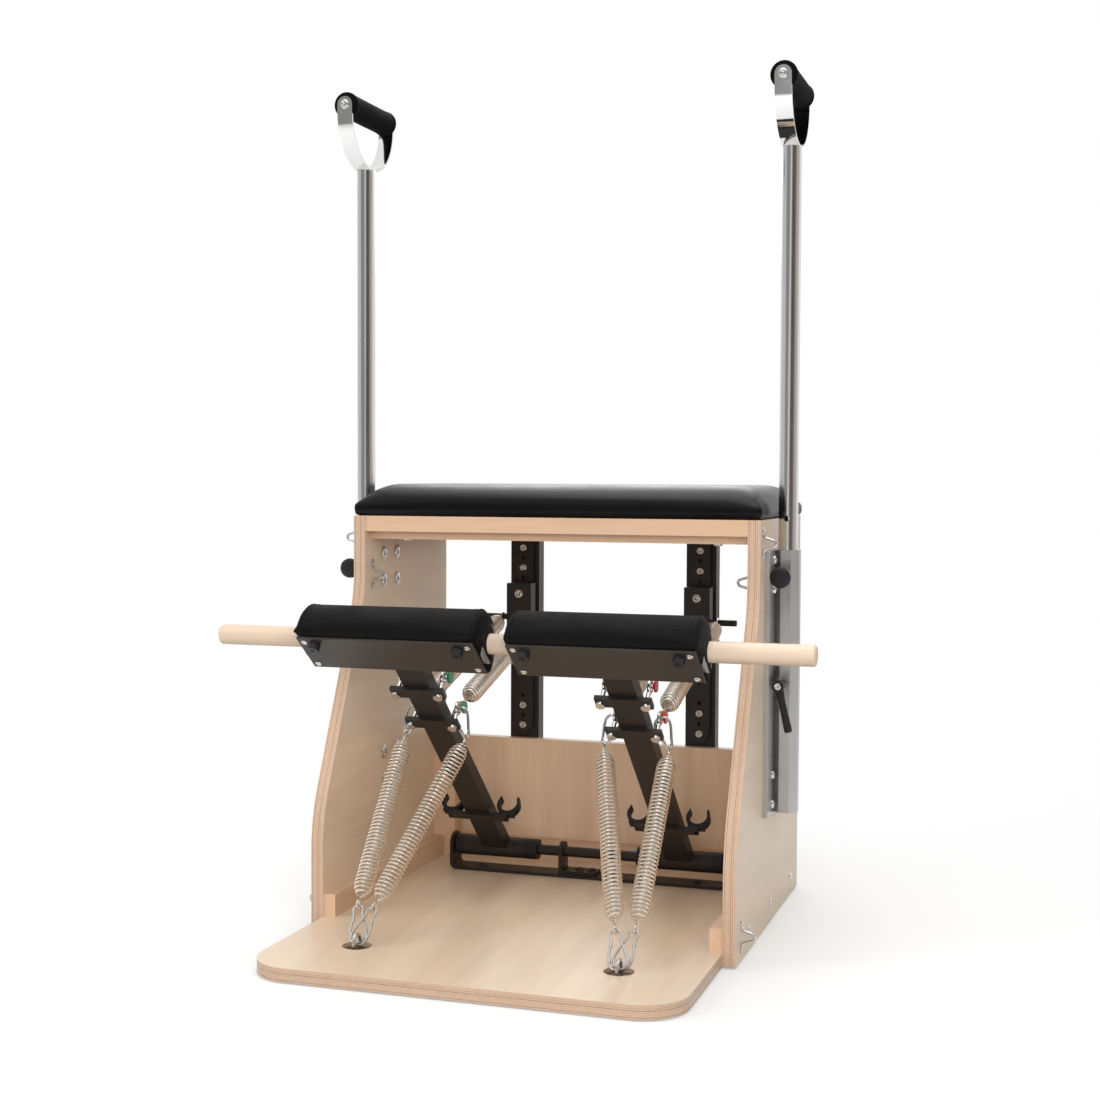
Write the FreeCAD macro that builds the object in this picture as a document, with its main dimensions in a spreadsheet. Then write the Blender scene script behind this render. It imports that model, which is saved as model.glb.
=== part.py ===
import FreeCAD, Part
import Sketcher
import math
import os

Vector = FreeCAD.Vector
Rotation = FreeCAD.Rotation

# A plywood pilates chair: padded seat, two sprung pedals joined by a dowel, two hand poles.
# X runs to the right, Y to the back, Z up. Y is zero at the panels' front edge, Z at the floor.
# Lengths are millimetres, tilts and leans are degrees.
SIZES = {
    # carcass
    "panel_gap": 580,
    "panel_thickness": 18,
    "panel_height": 587,
    "panel_depth": 478,
    "panel_setback": 146,
    "edge_lean": 25,
    "edge_upper_straight": 84,
    "edge_upper_radius": 150,
    "edge_lower_radius": 200,
    "board_thickness": 18,
    "board_reach": 245,
    "board_corner": 62,
    "floor_pad_thickness": 2,
    "floor_pad_radius": 20,
    "floor_pad_inset": 45,
    "rear_panel_thickness": 18,
    "rear_panel_height": 213,
    "post_width": 37,
    "post_depth": 35,
    "post_drop": 5,
    "cleat_width": 18,
    "cleat_height": 32,
    "cleat_front_gap": 3,
    # seat
    "rail_thickness": 22,
    "rail_height": 23,
    "rail_setback": 2,
    "batten_width": 36,
    "batten_height": 35,
    "deck_thickness": 12,
    "seat_cleat_height": 22,
    "rear_rail_height": 45,
    "cushion_height": 46,
    "cushion_side_overhang": 1,
    "cushion_front_overhang": 3,
    "cushion_rear_overhang": 15,
    "cushion_corner": 14,
    "cushion_draw_in": 7,
    # spring posts
    "upright_width": 49,
    "upright_depth": 25,
    "upright_wall": 3,
    "upright_top_drop": 6,
    "upright_foot": 60,
    "post_rail_width": 33,
    "post_rail_thickness": 8,
    "post_rail_foot_gap": 8,
    "post_rail_top_drop": 45,
    "post_bolt_pitch": 33,
    "post_hole_radius": 3,
    "post_bolt_inset": 13,
    "carriage_width": 42,
    "carriage_thickness": 24,
    "carriage_height": 78,
    "carriage_level": 432,
    "carriage_bolt_rise": 22,
    "cross_pin_drop": 17,
    "cross_pin_radius": 5,
    "cross_pin_length": 124,
    # pedal pivot
    "pivot_depth": 350,
    "pivot_rise": 37.5,
    "bracket_span": 450,
    "bracket_width": 40,
    "bracket_thickness": 5,
    "bracket_bend": 11,
    "shaft_radius": 8,
    "sleeve_radius": 16,
    "sleeve_length": 99,
    "sleeve_shift": 3.5,
    "bush_outer_collar": 14,
    "bush_inner_collar": 22,
    "bush_spigot_radius": 12,
    "bush_spigot_length": 25,
    "support_offset": 41,
    "support_thickness": 6,
    "support_foot": 60,
    "support_margin": 8,
    # pedals
    "arm_offset": 149.5,
    "arm_tilt": 42.3,
    "arm_reach": 546,
    "arm_width": 40,
    "arm_depth": 20,
    "arm_wall": 2,
    "pedal_tilt": 37.5,
    "dowel_tube_wall": 2.5,
    "core_length": 246,
    "pad_length": 260,
    "pad_radius": 49,
    "pad_corner": 9,
    "pad_foam": 14,
    "pad_end_round": 5,
    "pad_lean": 9.5,
    "pad_shoulder": 9,
    "pad_base": 28,
    "plate_length": 253,
    "plate_width": 73,
    "plate_thickness": 3,
    "plate_rise": 46.5,
    "plate_screw_inset": 9,
    "end_plate_radius": 27,
    "end_plate_thickness": 8,
    "thumbscrew_inset": 23,
    "thumbscrew_drop": 13,
    "thumbscrew_radius": 8,
    "thumbscrew_height": 11,
    "thumbscrew_stem": 3,
    "thumbscrew_reach": 12,
    "dowel_radius": 14,
    "dowel_length": 838,
    "dowel_round": 4,
    # pedal fittings
    "wing_length": 80,
    "wing_width": 20,
    "wing_thickness": 6,
    "wing_upper_reach": 104,
    "wing_lower_reach": 179,
    "eye_spread": 31.5,
    "eye_rise": 24,
    "eye_radius": 8,
    "eye_wire": 2.5,
    "eye_shank": 3,
    "eye_head_radius": 6.5,
    "eye_head_height": 6,
    "tag_radius": 9,
    "tag_thickness": 3,
    "tag_lean": 42,
    "tag_away": 15,
    "clip_bar_length": 97,
    "clip_bar_width": 14,
    "clip_bar_reach": 114,
    "clip_spread": 45.5,
    "clip_inner": 13.5,
    "clip_wall": 6,
    "clip_width": 12,
    "clip_mouth": 20,
    # springs and hooks
    "front_coil_radius": 12,
    "front_coil_wire": 3.4,
    "rear_coil_radius": 12.5,
    "rear_coil_wire": 3.4,
    "rear_hook_run": 34,
    "pedal_hook_length": 52,
    "floor_hook_length": 52,
    "hook_wide": 9,
    "hook_narrow": 5.5,
    "hook_wire": 2.2,
    "hook_spread": 13,
    "hook_lean": 24,
    "hook_nose_back": 8,
    "hook_nose_drop": 15,
    "hook_near": 12,
    "hook_far": 27,
    "hook_foot_near": 13,
    "hook_foot_far": 23,
    "hook_bend": 4,
    "hook_side_step": 3,
    "anchor_offset": 182,
    "anchor_reach": 120,
    "anchor_radius": 20,
    "anchor_depth": 8,
    "anchor_plate": 2,
    "anchor_bow": 11,
    "anchor_wire": 2.5,
    "anchor_rise": 4,
    # hand poles
    "pole_standoff": 22,
    "pole_setback": 95,
    "pole_radius": 14,
    "pole_wall": 2,
    "pole_tail": 30,
    "pole_hole_pitch": 82,
    "pole_hole_radius": 4.2,
    "grip_level": 1202,
    "grip_radius": 19,
    "grip_core": 4,
    "yoke_radius": 78,
    "yoke_leg": 9,
    "yoke_thickness": 3,
    "yoke_width": 24,
    "grip_screw_radius": 7,
    "grip_screw_height": 4,
    # pole guides
    "guide_top_gap": 44,
    "guide_length": 378,
    "guide_plate_width": 122,
    "guide_plate_thickness": 7,
    "guide_wall": 3.5,
    "guide_bolt_spread": 25.5,
    "guide_bolt_inset": 14,
    "guide_bolt_pitch": 42,
    "boss_radius": 9,
    "boss_length": 12,
    "index_drop": 37,
    "index_radius": 4,
    "index_knob_radius": 15,
    "index_knob_length": 16,
    "index_neck": 38,
    "lever_drop": 189,
    "lever_hub_radius": 8.5,
    "lever_hub_length": 20,
    "lever_gap": 26,
    "lever_length": 66,
    "lever_radius": 5.5,
    "lever_tip_radius": 4,
    "lever_lean": 13,
    # pad eyes
    "eye_plate_bow": 12,
    "eye_plate_stand": 11,
    "eye_plate_wire": 2.5,
    "eye_plate_foot": 15,
    "eye_plate_width": 12,
    "eye_plate_thickness": 2.5,
    "eye_plate_edge_gap": 18,
    "eye_plate_top_drop": 33,
    "eye_plate_inner_drop": 89,
    "eye_plate_low_level": 33,
    # fasteners
    "bolt_shank": 3,
    "bolt_head": 6.5,
    "bolt_head_height": 4,
    "nut_radius": 9,
    "nut_height": 5,
    "screw_head": 4.5,
    "screw_head_height": 1.5,
    "screw_reach": 12,
    "panel_screw_level": 28,
    # fits
    "running_fit": 0.08,
    "shank_fit": 0.05,
    "clear_gap": 0.3,
    "cut_overrun": 2,
}

# Counts and shares, which don't scale with the part.
FRONT_TURNS = 16
REAR_TURNS = 9
COIL_TAPER_SHARE = 0.45
POLE_HOLES_BELOW = 2
SAME_PLACE = 1e-3
POST_BOLT_ROWS = (0, 1)
POST_HOLE_ROWS_SHARES = (0.5, 1.5, 2.5, 3.5)
PANEL_SCREW_SHARES = (0.19, 0.52, 0.87)
BRACKET_BOLT_SHARE = 0.39
SUPPORT_BOLT_SHARES = (0.45, 0.8)
BATTEN_BOLT_SHARE = 1.4
GUIDE_SIDES = 8
CUSHION_LAYERS_SHARES = ((0.0, 0.45), (0.1, 0.08), (0.24, 0.0), (0.48, 0.0), (0.58, 0.4), (0.7, 1.9),
                         (0.82, 4.6), (0.93, 9.0), (1.0, 15.0))
SIDES = ((-1, "left"), (1, "right"))

doc = FreeCAD.newDocument("pilates_chair")
sheet = doc.addObject("Spreadsheet::Sheet", "Sizes")
for row, (alias, number) in enumerate(SIZES.items(), start=1):
    sheet.set(f"A{row}", alias.replace("_", " "))
    sheet.set(f"B{row}", str(number))
    sheet.setAlias(f"B{row}", alias)
doc.recompute()


class Size:
    # A size as a number together with the formula on the sheet that gives it.
    def __init__(self, value, text):
        self.value = value
        self.text = text

    def __add__(self, other):
        other = as_size(other)
        return Size(self.value + other.value, f"({self.text} + {other.text})")

    def __sub__(self, other):
        other = as_size(other)
        return Size(self.value - other.value, f"({self.text} - {other.text})")

    def __mul__(self, other):
        other = as_size(other)
        return Size(self.value * other.value, f"({self.text} * {other.text})")

    def __truediv__(self, other):
        other = as_size(other)
        return Size(self.value / other.value, f"({self.text} / {other.text})")

    def __neg__(self):
        return Size(-self.value, f"(0 - {self.text})")

    def __radd__(self, other):
        return as_size(other) + self

    def __rmul__(self, other):
        return as_size(other) * self


def as_size(number):
    return number if isinstance(number, Size) else Size(number, f"({number})")


def cos(angle):
    return Size(math.cos(math.radians(angle.value)), f"cos({angle.text} * 1 deg)")


def sin(angle):
    return Size(math.sin(math.radians(angle.value)), f"sin({angle.text} * 1 deg)")


def tan(angle):
    return Size(math.tan(math.radians(angle.value)), f"tan({angle.text} * 1 deg)")


def root(size):
    return Size(math.sqrt(size.value), f"sqrt({size.text})")


class Sheet:
    # Reads a size of the sheet by its alias.
    def __getattr__(self, alias):
        return Size(SIZES[alias], f"Sizes.{alias}")


S = Sheet()
ZERO = as_size(0)
AXIS_TURNS = {
    "x": Rotation(Vector(0, 1, 0), 90),
    "y": Rotation(Vector(1, 0, 0), -90),
    "z": Rotation(),
}


# Building blocks: primitives, joins and cuts bound to the sheet.
def move(thing, place, turn=None):
    if turn is not None:
        thing.Placement = FreeCAD.Placement(Vector(), turn)
    for axis, size in zip("xyz", place):
        thing.setExpression(f"Placement.Base.{axis}", as_size(size).text)
    return thing


def between(low, high):
    box = doc.addObject("Part::Box", "Box")
    for name, start, stop in zip(("Length", "Width", "Height"), low, high):
        box.setExpression(name, (as_size(stop) - as_size(start)).text)
    return move(box, low)


def block(centre, span):
    low = [as_size(place) - size / 2 for place, size in zip(centre, span)]
    high = [as_size(place) + size / 2 for place, size in zip(centre, span)]
    return between(low, high)


def rod(axis, centre, radius, length):
    cylinder = doc.addObject("Part::Cylinder", "Rod")
    cylinder.setExpression("Radius", radius.text)
    cylinder.setExpression("Height", length.text)
    base = [as_size(place) - length / 2 if name == axis else place for name, place in zip("xyz", centre)]
    return move(cylinder, base, AXIS_TURNS[axis])


def ring(centre, radius, wire, turn, sweep=360):
    torus = doc.addObject("Part::Torus", "Ring")
    torus.setExpression("Radius1", radius.text)
    torus.setExpression("Radius2", wire.text)
    torus.Angle3 = sweep
    return move(torus, centre, turn)


def fuse(things, label=None):
    joined = doc.addObject("Part::MultiFuse", "Fuse")
    joined.Shapes = things
    joined.Refine = True
    return named(joined, label)


def cut(base, tools, label=None):
    result = doc.addObject("Part::Cut", "Cut")
    result.Base = base
    result.Tool = tools[0] if len(tools) == 1 else fuse(tools)
    result.Refine = True
    return named(result, label)


def group(things, label=None):
    bundle = doc.addObject("Part::Compound", "Group")
    bundle.Links = things
    return named(bundle, label)


def feature(shape, label=None):
    thing = doc.addObject("Part::Feature", "Shape")
    thing.Shape = shape
    return named(thing, label)


NODES = []


def named(thing, label):
    if label:
        thing.Label = label
        NODES.append(thing)
    return thing


def tilt_about_x(thing, origin, tilt):
    thing.Placement = FreeCAD.Placement(Vector(), Rotation(Vector(1, 0, 0), -tilt.value))
    thing.setExpression("Placement.Rotation.Angle", (-tilt).text)
    return move(thing, origin)


def arc_between(start, stop, centre):
    # Every arc of a sketch runs counter-clockwise, whichever way the outline goes.
    outward = ((start + stop) / 2 - centre).normalize()
    middle = centre + outward * start.distanceToPoint(centre)
    if (start - centre).cross(stop - centre).z < 0:
        return Part.ArcOfCircle(stop, middle, start)
    return Part.ArcOfCircle(start, middle, stop)


def profile(outline, start, length, label=None):
    # A body padded along X from an outline in Y and Z. Each corner is (y, z), or (y, z, centre y, centre z)
    # where the edge to the next corner is an arc of under half a circle round that centre.
    body = doc.addObject("PartDesign::Body", "Body")
    sketch = body.newObject("Sketcher::SketchObject", "Outline")
    plane = [item for item in body.Origin.OriginFeatures if item.Role == "YZ_Plane"][0]
    sketch.AttachmentSupport = [(plane, "")]
    sketch.MapMode = "FlatFace"
    corners = [Vector(corner[0].value, corner[1].value) for corner in outline]
    starts = []
    stops = []
    centres = []
    for index, corner in enumerate(outline):
        here = corners[index]
        there = corners[(index + 1) % len(corners)]
        if len(corner) == 2:
            edge = sketch.addGeometry(Part.LineSegment(here, there), False)
            first = 1
        else:
            arc = arc_between(here, there, Vector(corner[2].value, corner[3].value))
            edge = sketch.addGeometry(arc, False)
            first = 1 if (sketch.Geometry[edge].StartPoint - here).Length < arc.Radius * 1e-4 else 2
            centres.append((edge, corner[2]))
        starts.append((edge, first))
        stops.append((edge, 3 - first))
    for index, corner in enumerate(outline):
        edge, end = starts[index]
        sketch.addConstraint(Sketcher.Constraint("Coincident", *stops[index - 1], edge, end))
        for kind, size in (("DistanceX", corner[0]), ("DistanceY", corner[1])):
            fixed = sketch.addConstraint(Sketcher.Constraint(kind, -1, 1, edge, end, size.value))
            sketch.setExpression(f"Constraints[{fixed}]", size.text)
    for edge, size in centres:
        fixed = sketch.addConstraint(Sketcher.Constraint("DistanceX", -1, 1, edge, 3, size.value))
        sketch.setExpression(f"Constraints[{fixed}]", size.text)
    pad = body.newObject("PartDesign::Pad", "Pad")
    pad.Profile = sketch
    pad.setExpression("Length", length.text)
    move(body, (start, ZERO, ZERO))
    return named(body, label)


def bolt(axis, seat, outward, reach, shank, head, head_height):
    # A bolt whose head sits on a face at seat and whose shank goes inward from there.
    place = "xyz".index(axis)
    head_at = list(seat)
    shank_at = list(seat)
    head_at[place] = seat[place] + outward * head_height / 2
    shank_at[place] = seat[place] - outward * reach / 2
    return fuse([rod(axis, head_at, head, head_height), rod(axis, shank_at, shank, reach)])


def drill(axis, seat, outward, reach, radius):
    place = "xyz".index(axis)
    centre = list(seat)
    centre[place] = seat[place] - outward * (reach / 2)
    return rod(axis, centre, radius, reach + 2 * S.cut_overrun)


# Wound and bent forms: tubes along lines and arcs.
def arc_edge(start, heading, stop):
    chord = stop - start
    along = Vector(chord).normalize()
    aside = heading - along * heading.dot(along)
    if aside.Length < 1e-6:
        return Part.LineSegment(start, stop).toShape()
    turn = heading.getAngle(chord)
    middle = (start + stop) / 2 + aside.normalize() * (chord.Length / 2 * math.tan(turn / 2))
    return Part.Arc(start, middle, stop).toShape()


def biarc(start, heading, stop, arrival):
    chord = stop - start
    both = heading + arrival
    spread = 2 * (1 - heading.dot(arrival))
    if spread < 1e-9:
        return [Part.LineSegment(start, stop).toShape()]
    root = math.sqrt(chord.dot(both) ** 2 + spread * chord.dot(chord))
    reach = (root - chord.dot(both)) / spread
    joint = (start + stop + (heading - arrival) * reach) / 2
    first = arc_edge(start, heading, joint)
    onward = (stop - arrival * reach) - (start + heading * reach)
    return [first, arc_edge(joint, onward.normalize(), stop)]


def tube(edges, start, heading, radius):
    section = Part.Wire(Part.Circle(start, heading, radius).toShape())
    return Part.Wire(edges).makePipeShell([section], True, False)


def coil(start, stop, radius, wire, turns, run):
    # One unbroken wire from start to stop: a straight run, tapered first and last turns, and the coil.
    axis = (stop - start).normalize()
    length = start.distanceToPoint(stop)
    aside = axis.cross(Vector(1, 0, 0)).normalize()
    across = axis.cross(aside)
    lead = wire
    rise = run + radius / 2
    fall = lead + radius / 2
    steps = [step / 4 for step in range(4 * turns + 1)]

    def at(turn):
        taper = min(1, min(turn, turns - turn))
        out = radius * (COIL_TAPER_SHARE + (1 - COIL_TAPER_SHARE) * taper)
        angle = 2 * math.pi * turn
        along = rise + (length - rise - fall) * turn / turns
        return start + axis * along + aside * (out * math.cos(angle)) + across * (out * math.sin(angle))

    def heading(turn):
        nudge = 1e-4
        low = max(turn - nudge, 0)
        high = min(turn + nudge, turns)
        return (at(high) - at(low)).normalize()

    stations = [(start + axis * run, axis)]
    stations += [(at(turn), heading(turn)) for turn in steps if taper_step(turn, turns)]
    stations.append((stop - axis * lead, axis))
    edges = [Part.LineSegment(start, stations[0][0]).toShape()]
    for here, there in zip(stations, stations[1:]):
        edges += biarc(*here, *there)
    edges.append(Part.LineSegment(stations[-1][0], stop).toShape())
    return tube(edges, start, axis, wire / 2), coil_gap(edges, wire)


def taper_step(turn, turns):
    # Quarter turns where the coil tapers, half turns along its body.
    return turn <= 1 or turn >= turns - 1 or (2 * turn) == int(2 * turn)


def coil_gap(edges, wire):
    points = []
    for edge in edges:
        points += edge.discretize(5)[:-1]
    run = [0]
    for here, there in zip(points, points[1:]):
        run.append(run[-1] + here.distanceToPoint(there))
    apart = [
        points[a].distanceToPoint(points[b])
        for a in range(len(points))
        for b in range(a + 1, len(points))
        if run[b] - run[a] > 4 * wire
    ]
    return min(apart) - wire


def pear_link(apex, along, aside, length, wide, narrow, wire):
    # A closed wire link, wide at its apex and narrow at its far end.
    top = apex + along * wide
    low = apex + along * (length - narrow)
    lean = math.asin((wide - narrow) / top.distanceToPoint(low))
    right = aside * math.cos(lean) + along * math.sin(lean)
    left = along * math.sin(lean) - aside * math.cos(lean)
    middle = (top + right * wide + low + right * narrow) / 2
    edges = [
        Part.LineSegment(middle, low + right * narrow).toShape(),
        Part.Arc(low + right * narrow, low + along * narrow, low + left * narrow).toShape(),
        Part.LineSegment(low + left * narrow, top + left * wide).toShape(),
        Part.Arc(top + left * wide, apex, top + right * wide).toShape(),
        Part.LineSegment(top + right * wide, middle).toShape(),
    ]
    heading = (low + right * narrow - middle).normalize()
    return tube(edges, middle, heading, wire)


def bent_link(corners, bend, wire):
    # A closed wire link through corners that are rounded with one bend radius.
    edges = []
    ends = []
    for index, corner in enumerate(corners):
        back = (corners[index - 1] - corner).normalize()
        onward = (corners[(index + 1) % len(corners)] - corner).normalize()
        half = back.getAngle(onward) / 2
        run = bend / math.tan(half)
        towards = (back + onward).normalize()
        middle = corner + towards * (bend / math.sin(half) - bend)
        ends.append((corner + back * run, middle, corner + onward * run))
    begin = (ends[-1][2] + ends[0][0]) / 2
    edges.append(Part.LineSegment(begin, ends[0][0]).toShape())
    for index, arc in enumerate(ends):
        edges.append(Part.Arc(*arc).toShape())
        stop = begin if index == len(ends) - 1 else ends[index + 1][0]
        edges.append(Part.LineSegment(arc[2], stop).toShape())
    return tube(edges, begin, (ends[0][0] - begin).normalize(), wire)


# Places shared by many pieces.
half_gap = S.panel_gap / 2
panel_out = half_gap + S.panel_thickness
ground = S.floor_pad_thickness
board_top = ground + S.board_thickness
seat_base = ground + S.panel_height
rear_face = S.panel_depth - S.rear_panel_thickness
rear_top = ground + S.rear_panel_height
pivot_y = S.pivot_depth
pivot_z = board_top + S.pivot_rise
dowel_y = pivot_y - S.arm_reach * cos(S.arm_tilt)
dowel_z = pivot_z + S.arm_reach * sin(S.arm_tilt)
pole_x = panel_out + S.pole_standoff
pole_y = S.panel_setback + S.pole_setback
grip_z = ground + S.grip_level
guide_high = seat_base - S.guide_top_gap
guide_low = guide_high - S.guide_length
index_z = guide_high - S.index_drop
lever_z = guide_high - S.lever_drop
pole_low = index_z - POLE_HOLES_BELOW * S.pole_hole_pitch - S.pole_tail
carriage_z = ground + S.carriage_level
carriage_front = S.panel_depth - S.post_rail_thickness - S.carriage_thickness
cross_pin_y = carriage_front + S.carriage_thickness / 2
cross_pin_z = carriage_z - S.cross_pin_drop
eye_lift = S.eye_rise - S.arm_depth / 2
# The wing bars are reckoned from the dowel down the arm.
wing_reaches = (S.arm_reach - S.wing_upper_reach, S.arm_reach - S.wing_lower_reach)
ARM = ((ZERO, pivot_y, pivot_z), S.arm_tilt)
PEDAL = ((ZERO, dowel_y, dowel_z), S.pedal_tilt)


def in_arm(x, reach, lift):
    # A point of the arm's own frame: along the arm from the pivot, and up off its middle.
    y = pivot_y - reach * cos(S.arm_tilt) + lift * sin(S.arm_tilt)
    z = pivot_z + reach * sin(S.arm_tilt) + lift * cos(S.arm_tilt)
    return (x, y, z)


def point(place):
    return Vector(*[as_size(size).value for size in place])


# Fasteners of the carcass, each with the hole that it needs.
fasteners = []


def fasten(axis, seat, outward, reach, shank=None, head=None, head_height=None, nut=False):
    shank = shank or S.bolt_shank
    head = head or S.bolt_head
    head_height = head_height or S.bolt_head_height
    full = reach + S.nut_height if nut else reach
    pieces = [bolt(axis, seat, outward, full, shank, head, head_height)]
    if nut:
        place = "xyz".index(axis)
        nut_at = list(seat)
        nut_at[place] = seat[place] - outward * (reach + S.nut_height / 2)
        pieces.append(rod(axis, nut_at, S.nut_radius, S.nut_height))
    fasteners.append(fuse(pieces) if nut else pieces[0])
    return drill(axis, seat, outward, full, shank + S.shank_fit)


guide_bolt_levels = (
    guide_high - S.guide_bolt_inset,
    guide_high - S.guide_bolt_inset - S.guide_bolt_pitch,
    guide_low + S.guide_bolt_inset + S.guide_bolt_pitch,
    guide_low + S.guide_bolt_inset,
)
guide_holes = {}
panel_screw_holes = {}
for side, word in SIDES:
    face = side * (panel_out + S.guide_plate_thickness)
    guide_holes[word] = [
        fasten("x", (face, pole_y + step * S.guide_bolt_spread, level), side,
               S.guide_plate_thickness + S.panel_thickness, nut=True)
        for level in guide_bolt_levels
        for step in (-1, 1)
    ]
    panel_screw_holes[word] = [
        fasten("x", (side * panel_out, share * S.panel_depth, ground + S.panel_screw_level), side,
               S.panel_thickness + S.screw_reach, head=S.screw_head, head_height=S.screw_head_height)
        for share in PANEL_SCREW_SHARES
    ]
bracket_holes = [
    fasten("z", (side * BRACKET_BOLT_SHARE * S.bracket_span, pivot_y, board_top + S.bracket_thickness), 1,
           S.bracket_thickness + S.board_thickness)
    for side, word in SIDES
]
support_holes = [
    fasten("z", (share * S.support_foot - S.support_offset, pivot_y,
                 board_top + S.bracket_thickness * 2), 1, S.bracket_thickness * 2)
    for share in SUPPORT_BOLT_SHARES
]
batten_y = S.panel_setback + S.rail_setback + S.rail_thickness + S.batten_width / 2
batten_bolt_x = half_gap - S.batten_width * BATTEN_BOLT_SHARE
batten_holes = [
    fasten("z", (side * batten_bolt_x, batten_y, seat_base - S.batten_height), -1,
           S.batten_height - S.deck_thickness)
    for side, word in SIDES
]


# Carcass boards.
def side_panel(side, word):
    lean = S.edge_lean
    upper_level = ground + S.panel_height - S.edge_upper_straight
    upper_y = S.panel_setback - S.edge_upper_radius + S.edge_upper_radius * cos(lean)
    upper_z = upper_level - S.edge_upper_radius * sin(lean)
    lower_y = S.edge_lower_radius - S.edge_lower_radius * cos(lean)
    lower_z = upper_z - (upper_y - lower_y) / tan(lean)
    foot_z = lower_z - S.edge_lower_radius * sin(lean)
    outline = [
        (ZERO, ground),
        (S.panel_depth, ground),
        (S.panel_depth, seat_base),
        (S.panel_setback, seat_base),
        (S.panel_setback, upper_level, S.panel_setback - S.edge_upper_radius, upper_level),
        (upper_y, upper_z),
        (lower_y, lower_z, S.edge_lower_radius, foot_z),
        (ZERO, foot_z),
    ]
    start = half_gap if side > 0 else -panel_out
    board = profile(outline, start, S.panel_thickness)
    cut(board, guide_holes[word] + panel_screw_holes[word], f"side_panel_{word}")


for side, word in SIDES:
    side_panel(side, word)


def base_board():
    plank = between((-half_gap, -S.board_reach, ground), (half_gap, rear_face, board_top))
    rounded = doc.addObject("Part::Fillet", "Rounded")
    rounded.Base = plank
    doc.recompute()
    edges = []
    for index, edge in enumerate(plank.Shape.Edges, start=1):
        middle = edge.CenterOfMass
        upright = abs(edge.tangentAt(edge.FirstParameter).z) > 0.5
        if upright and middle.y < 0:
            edges.append((index, S.board_corner.value, S.board_corner.value))
    rounded.Edges = edges
    pockets = [
        rod("z", (side * S.anchor_offset, -S.anchor_reach,
                  board_top - S.anchor_depth / 2 + S.cut_overrun / 2),
            S.anchor_radius, S.anchor_depth + S.cut_overrun)
        for side, word in SIDES
    ]
    cut(rounded, pockets + bracket_holes, "base_board")


base_board()
between((-half_gap, rear_face, ground), (half_gap, S.panel_depth, rear_top))
named(doc.ActiveObject, "rear_panel")


def wood_battens():
    post_front = rear_face - S.post_depth
    post_top = rear_top - S.post_drop
    cleat_top = board_top + S.cleat_height
    pieces = []
    for side, word in SIDES:
        inner = side * (half_gap - S.post_width)
        wall = side * half_gap
        pieces.append(span((inner, post_front, board_top), (wall, rear_face, post_top)))
        cleat = span((side * (half_gap - S.cleat_width), S.cleat_front_gap, board_top),
                     (wall, post_front, cleat_top))
        pieces.append(cut(cleat, panel_screw_holes[word]))
        pieces.append(span((side * (half_gap - S.cleat_width), deck_front, seat_base - S.deck_thickness
                            - S.seat_cleat_height), (wall, rear_face, seat_base - S.deck_thickness)))
    pieces.append(between((S.post_width - half_gap, rear_face - S.cleat_width, board_top),
                          (half_gap - S.post_width, rear_face, cleat_top)))
    pieces.append(between((-half_gap, rear_face, seat_base - S.rear_rail_height),
                          (half_gap, S.panel_depth, seat_base)))
    batten = between((-half_gap, rail_back, seat_base - S.batten_height), (half_gap, deck_front, seat_base))
    pieces.append(cut(batten, batten_holes))
    group(pieces, "wood_battens")


def span(one, other):
    low = [a if a.value <= b.value else b for a, b in zip(one, other)]
    high = [b if a.value <= b.value else a for a, b in zip(one, other)]
    return between(low, high)


rail_front = S.panel_setback + S.rail_setback
rail_back = rail_front + S.rail_thickness
deck_front = rail_back + S.batten_width
wood_battens()
named(between((-half_gap, rail_front, seat_base - S.rail_height), (half_gap, rail_back, seat_base)),
      "seat_front_rail")
named(between((-half_gap, deck_front, seat_base - S.deck_thickness), (half_gap, rear_face, seat_base)),
      "seat_deck")


def rounded_loop(low, high, level, corner):
    x0, y0 = low
    x1, y1 = high
    bow = corner * (1 - math.sqrt(0.5))
    corners = (
        (Vector(x0, y0 + corner, level), Vector(x0 + bow, y0 + bow, level), Vector(x0 + corner, y0, level)),
        (Vector(x1 - corner, y0, level), Vector(x1 - bow, y0 + bow, level), Vector(x1, y0 + corner, level)),
        (Vector(x1, y1 - corner, level), Vector(x1 - bow, y1 - bow, level), Vector(x1 - corner, y1, level)),
        (Vector(x0 + corner, y1, level), Vector(x0 + bow, y1 - bow, level), Vector(x0, y1 - corner, level)),
    )
    edges = []
    for index, arc in enumerate(corners):
        following = corners[(index + 1) % len(corners)]
        edges.append(Part.Arc(*arc).toShape())
        edges.append(Part.LineSegment(arc[2], following[0]).toShape())
    return Part.Wire(edges)


def seat_cushion():
    # Drawn in at its foot, upright round its border and domed from there to the middle.
    half_width = (panel_out + S.cushion_side_overhang).value
    front = (S.panel_setback - S.cushion_front_overhang).value
    back = (S.panel_depth + S.cushion_rear_overhang).value
    layers = []
    for height_share, inset_share in CUSHION_LAYERS_SHARES:
        inset = inset_share * S.cushion_draw_in.value
        level = (seat_base + height_share * S.cushion_height).value
        layers.append(rounded_loop((inset - half_width, front + inset), (half_width - inset, back - inset),
                                   level, S.cushion_corner.value))
    feature(Part.makeLoft(layers, True, True), "seat_cushion")


seat_cushion()


def floor_pads():
    places = [
        (side * (half_gap - S.floor_pad_inset), y)
        for side, word in SIDES
        for y in (S.floor_pad_inset - S.board_reach + S.board_corner / 2, rear_face - S.floor_pad_inset)
    ]
    places.append((ZERO, ZERO))
    group([rod("z", (x, y, ground / 2), S.floor_pad_radius, ground) for x, y in places], "floor_pads")


floor_pads()

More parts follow.
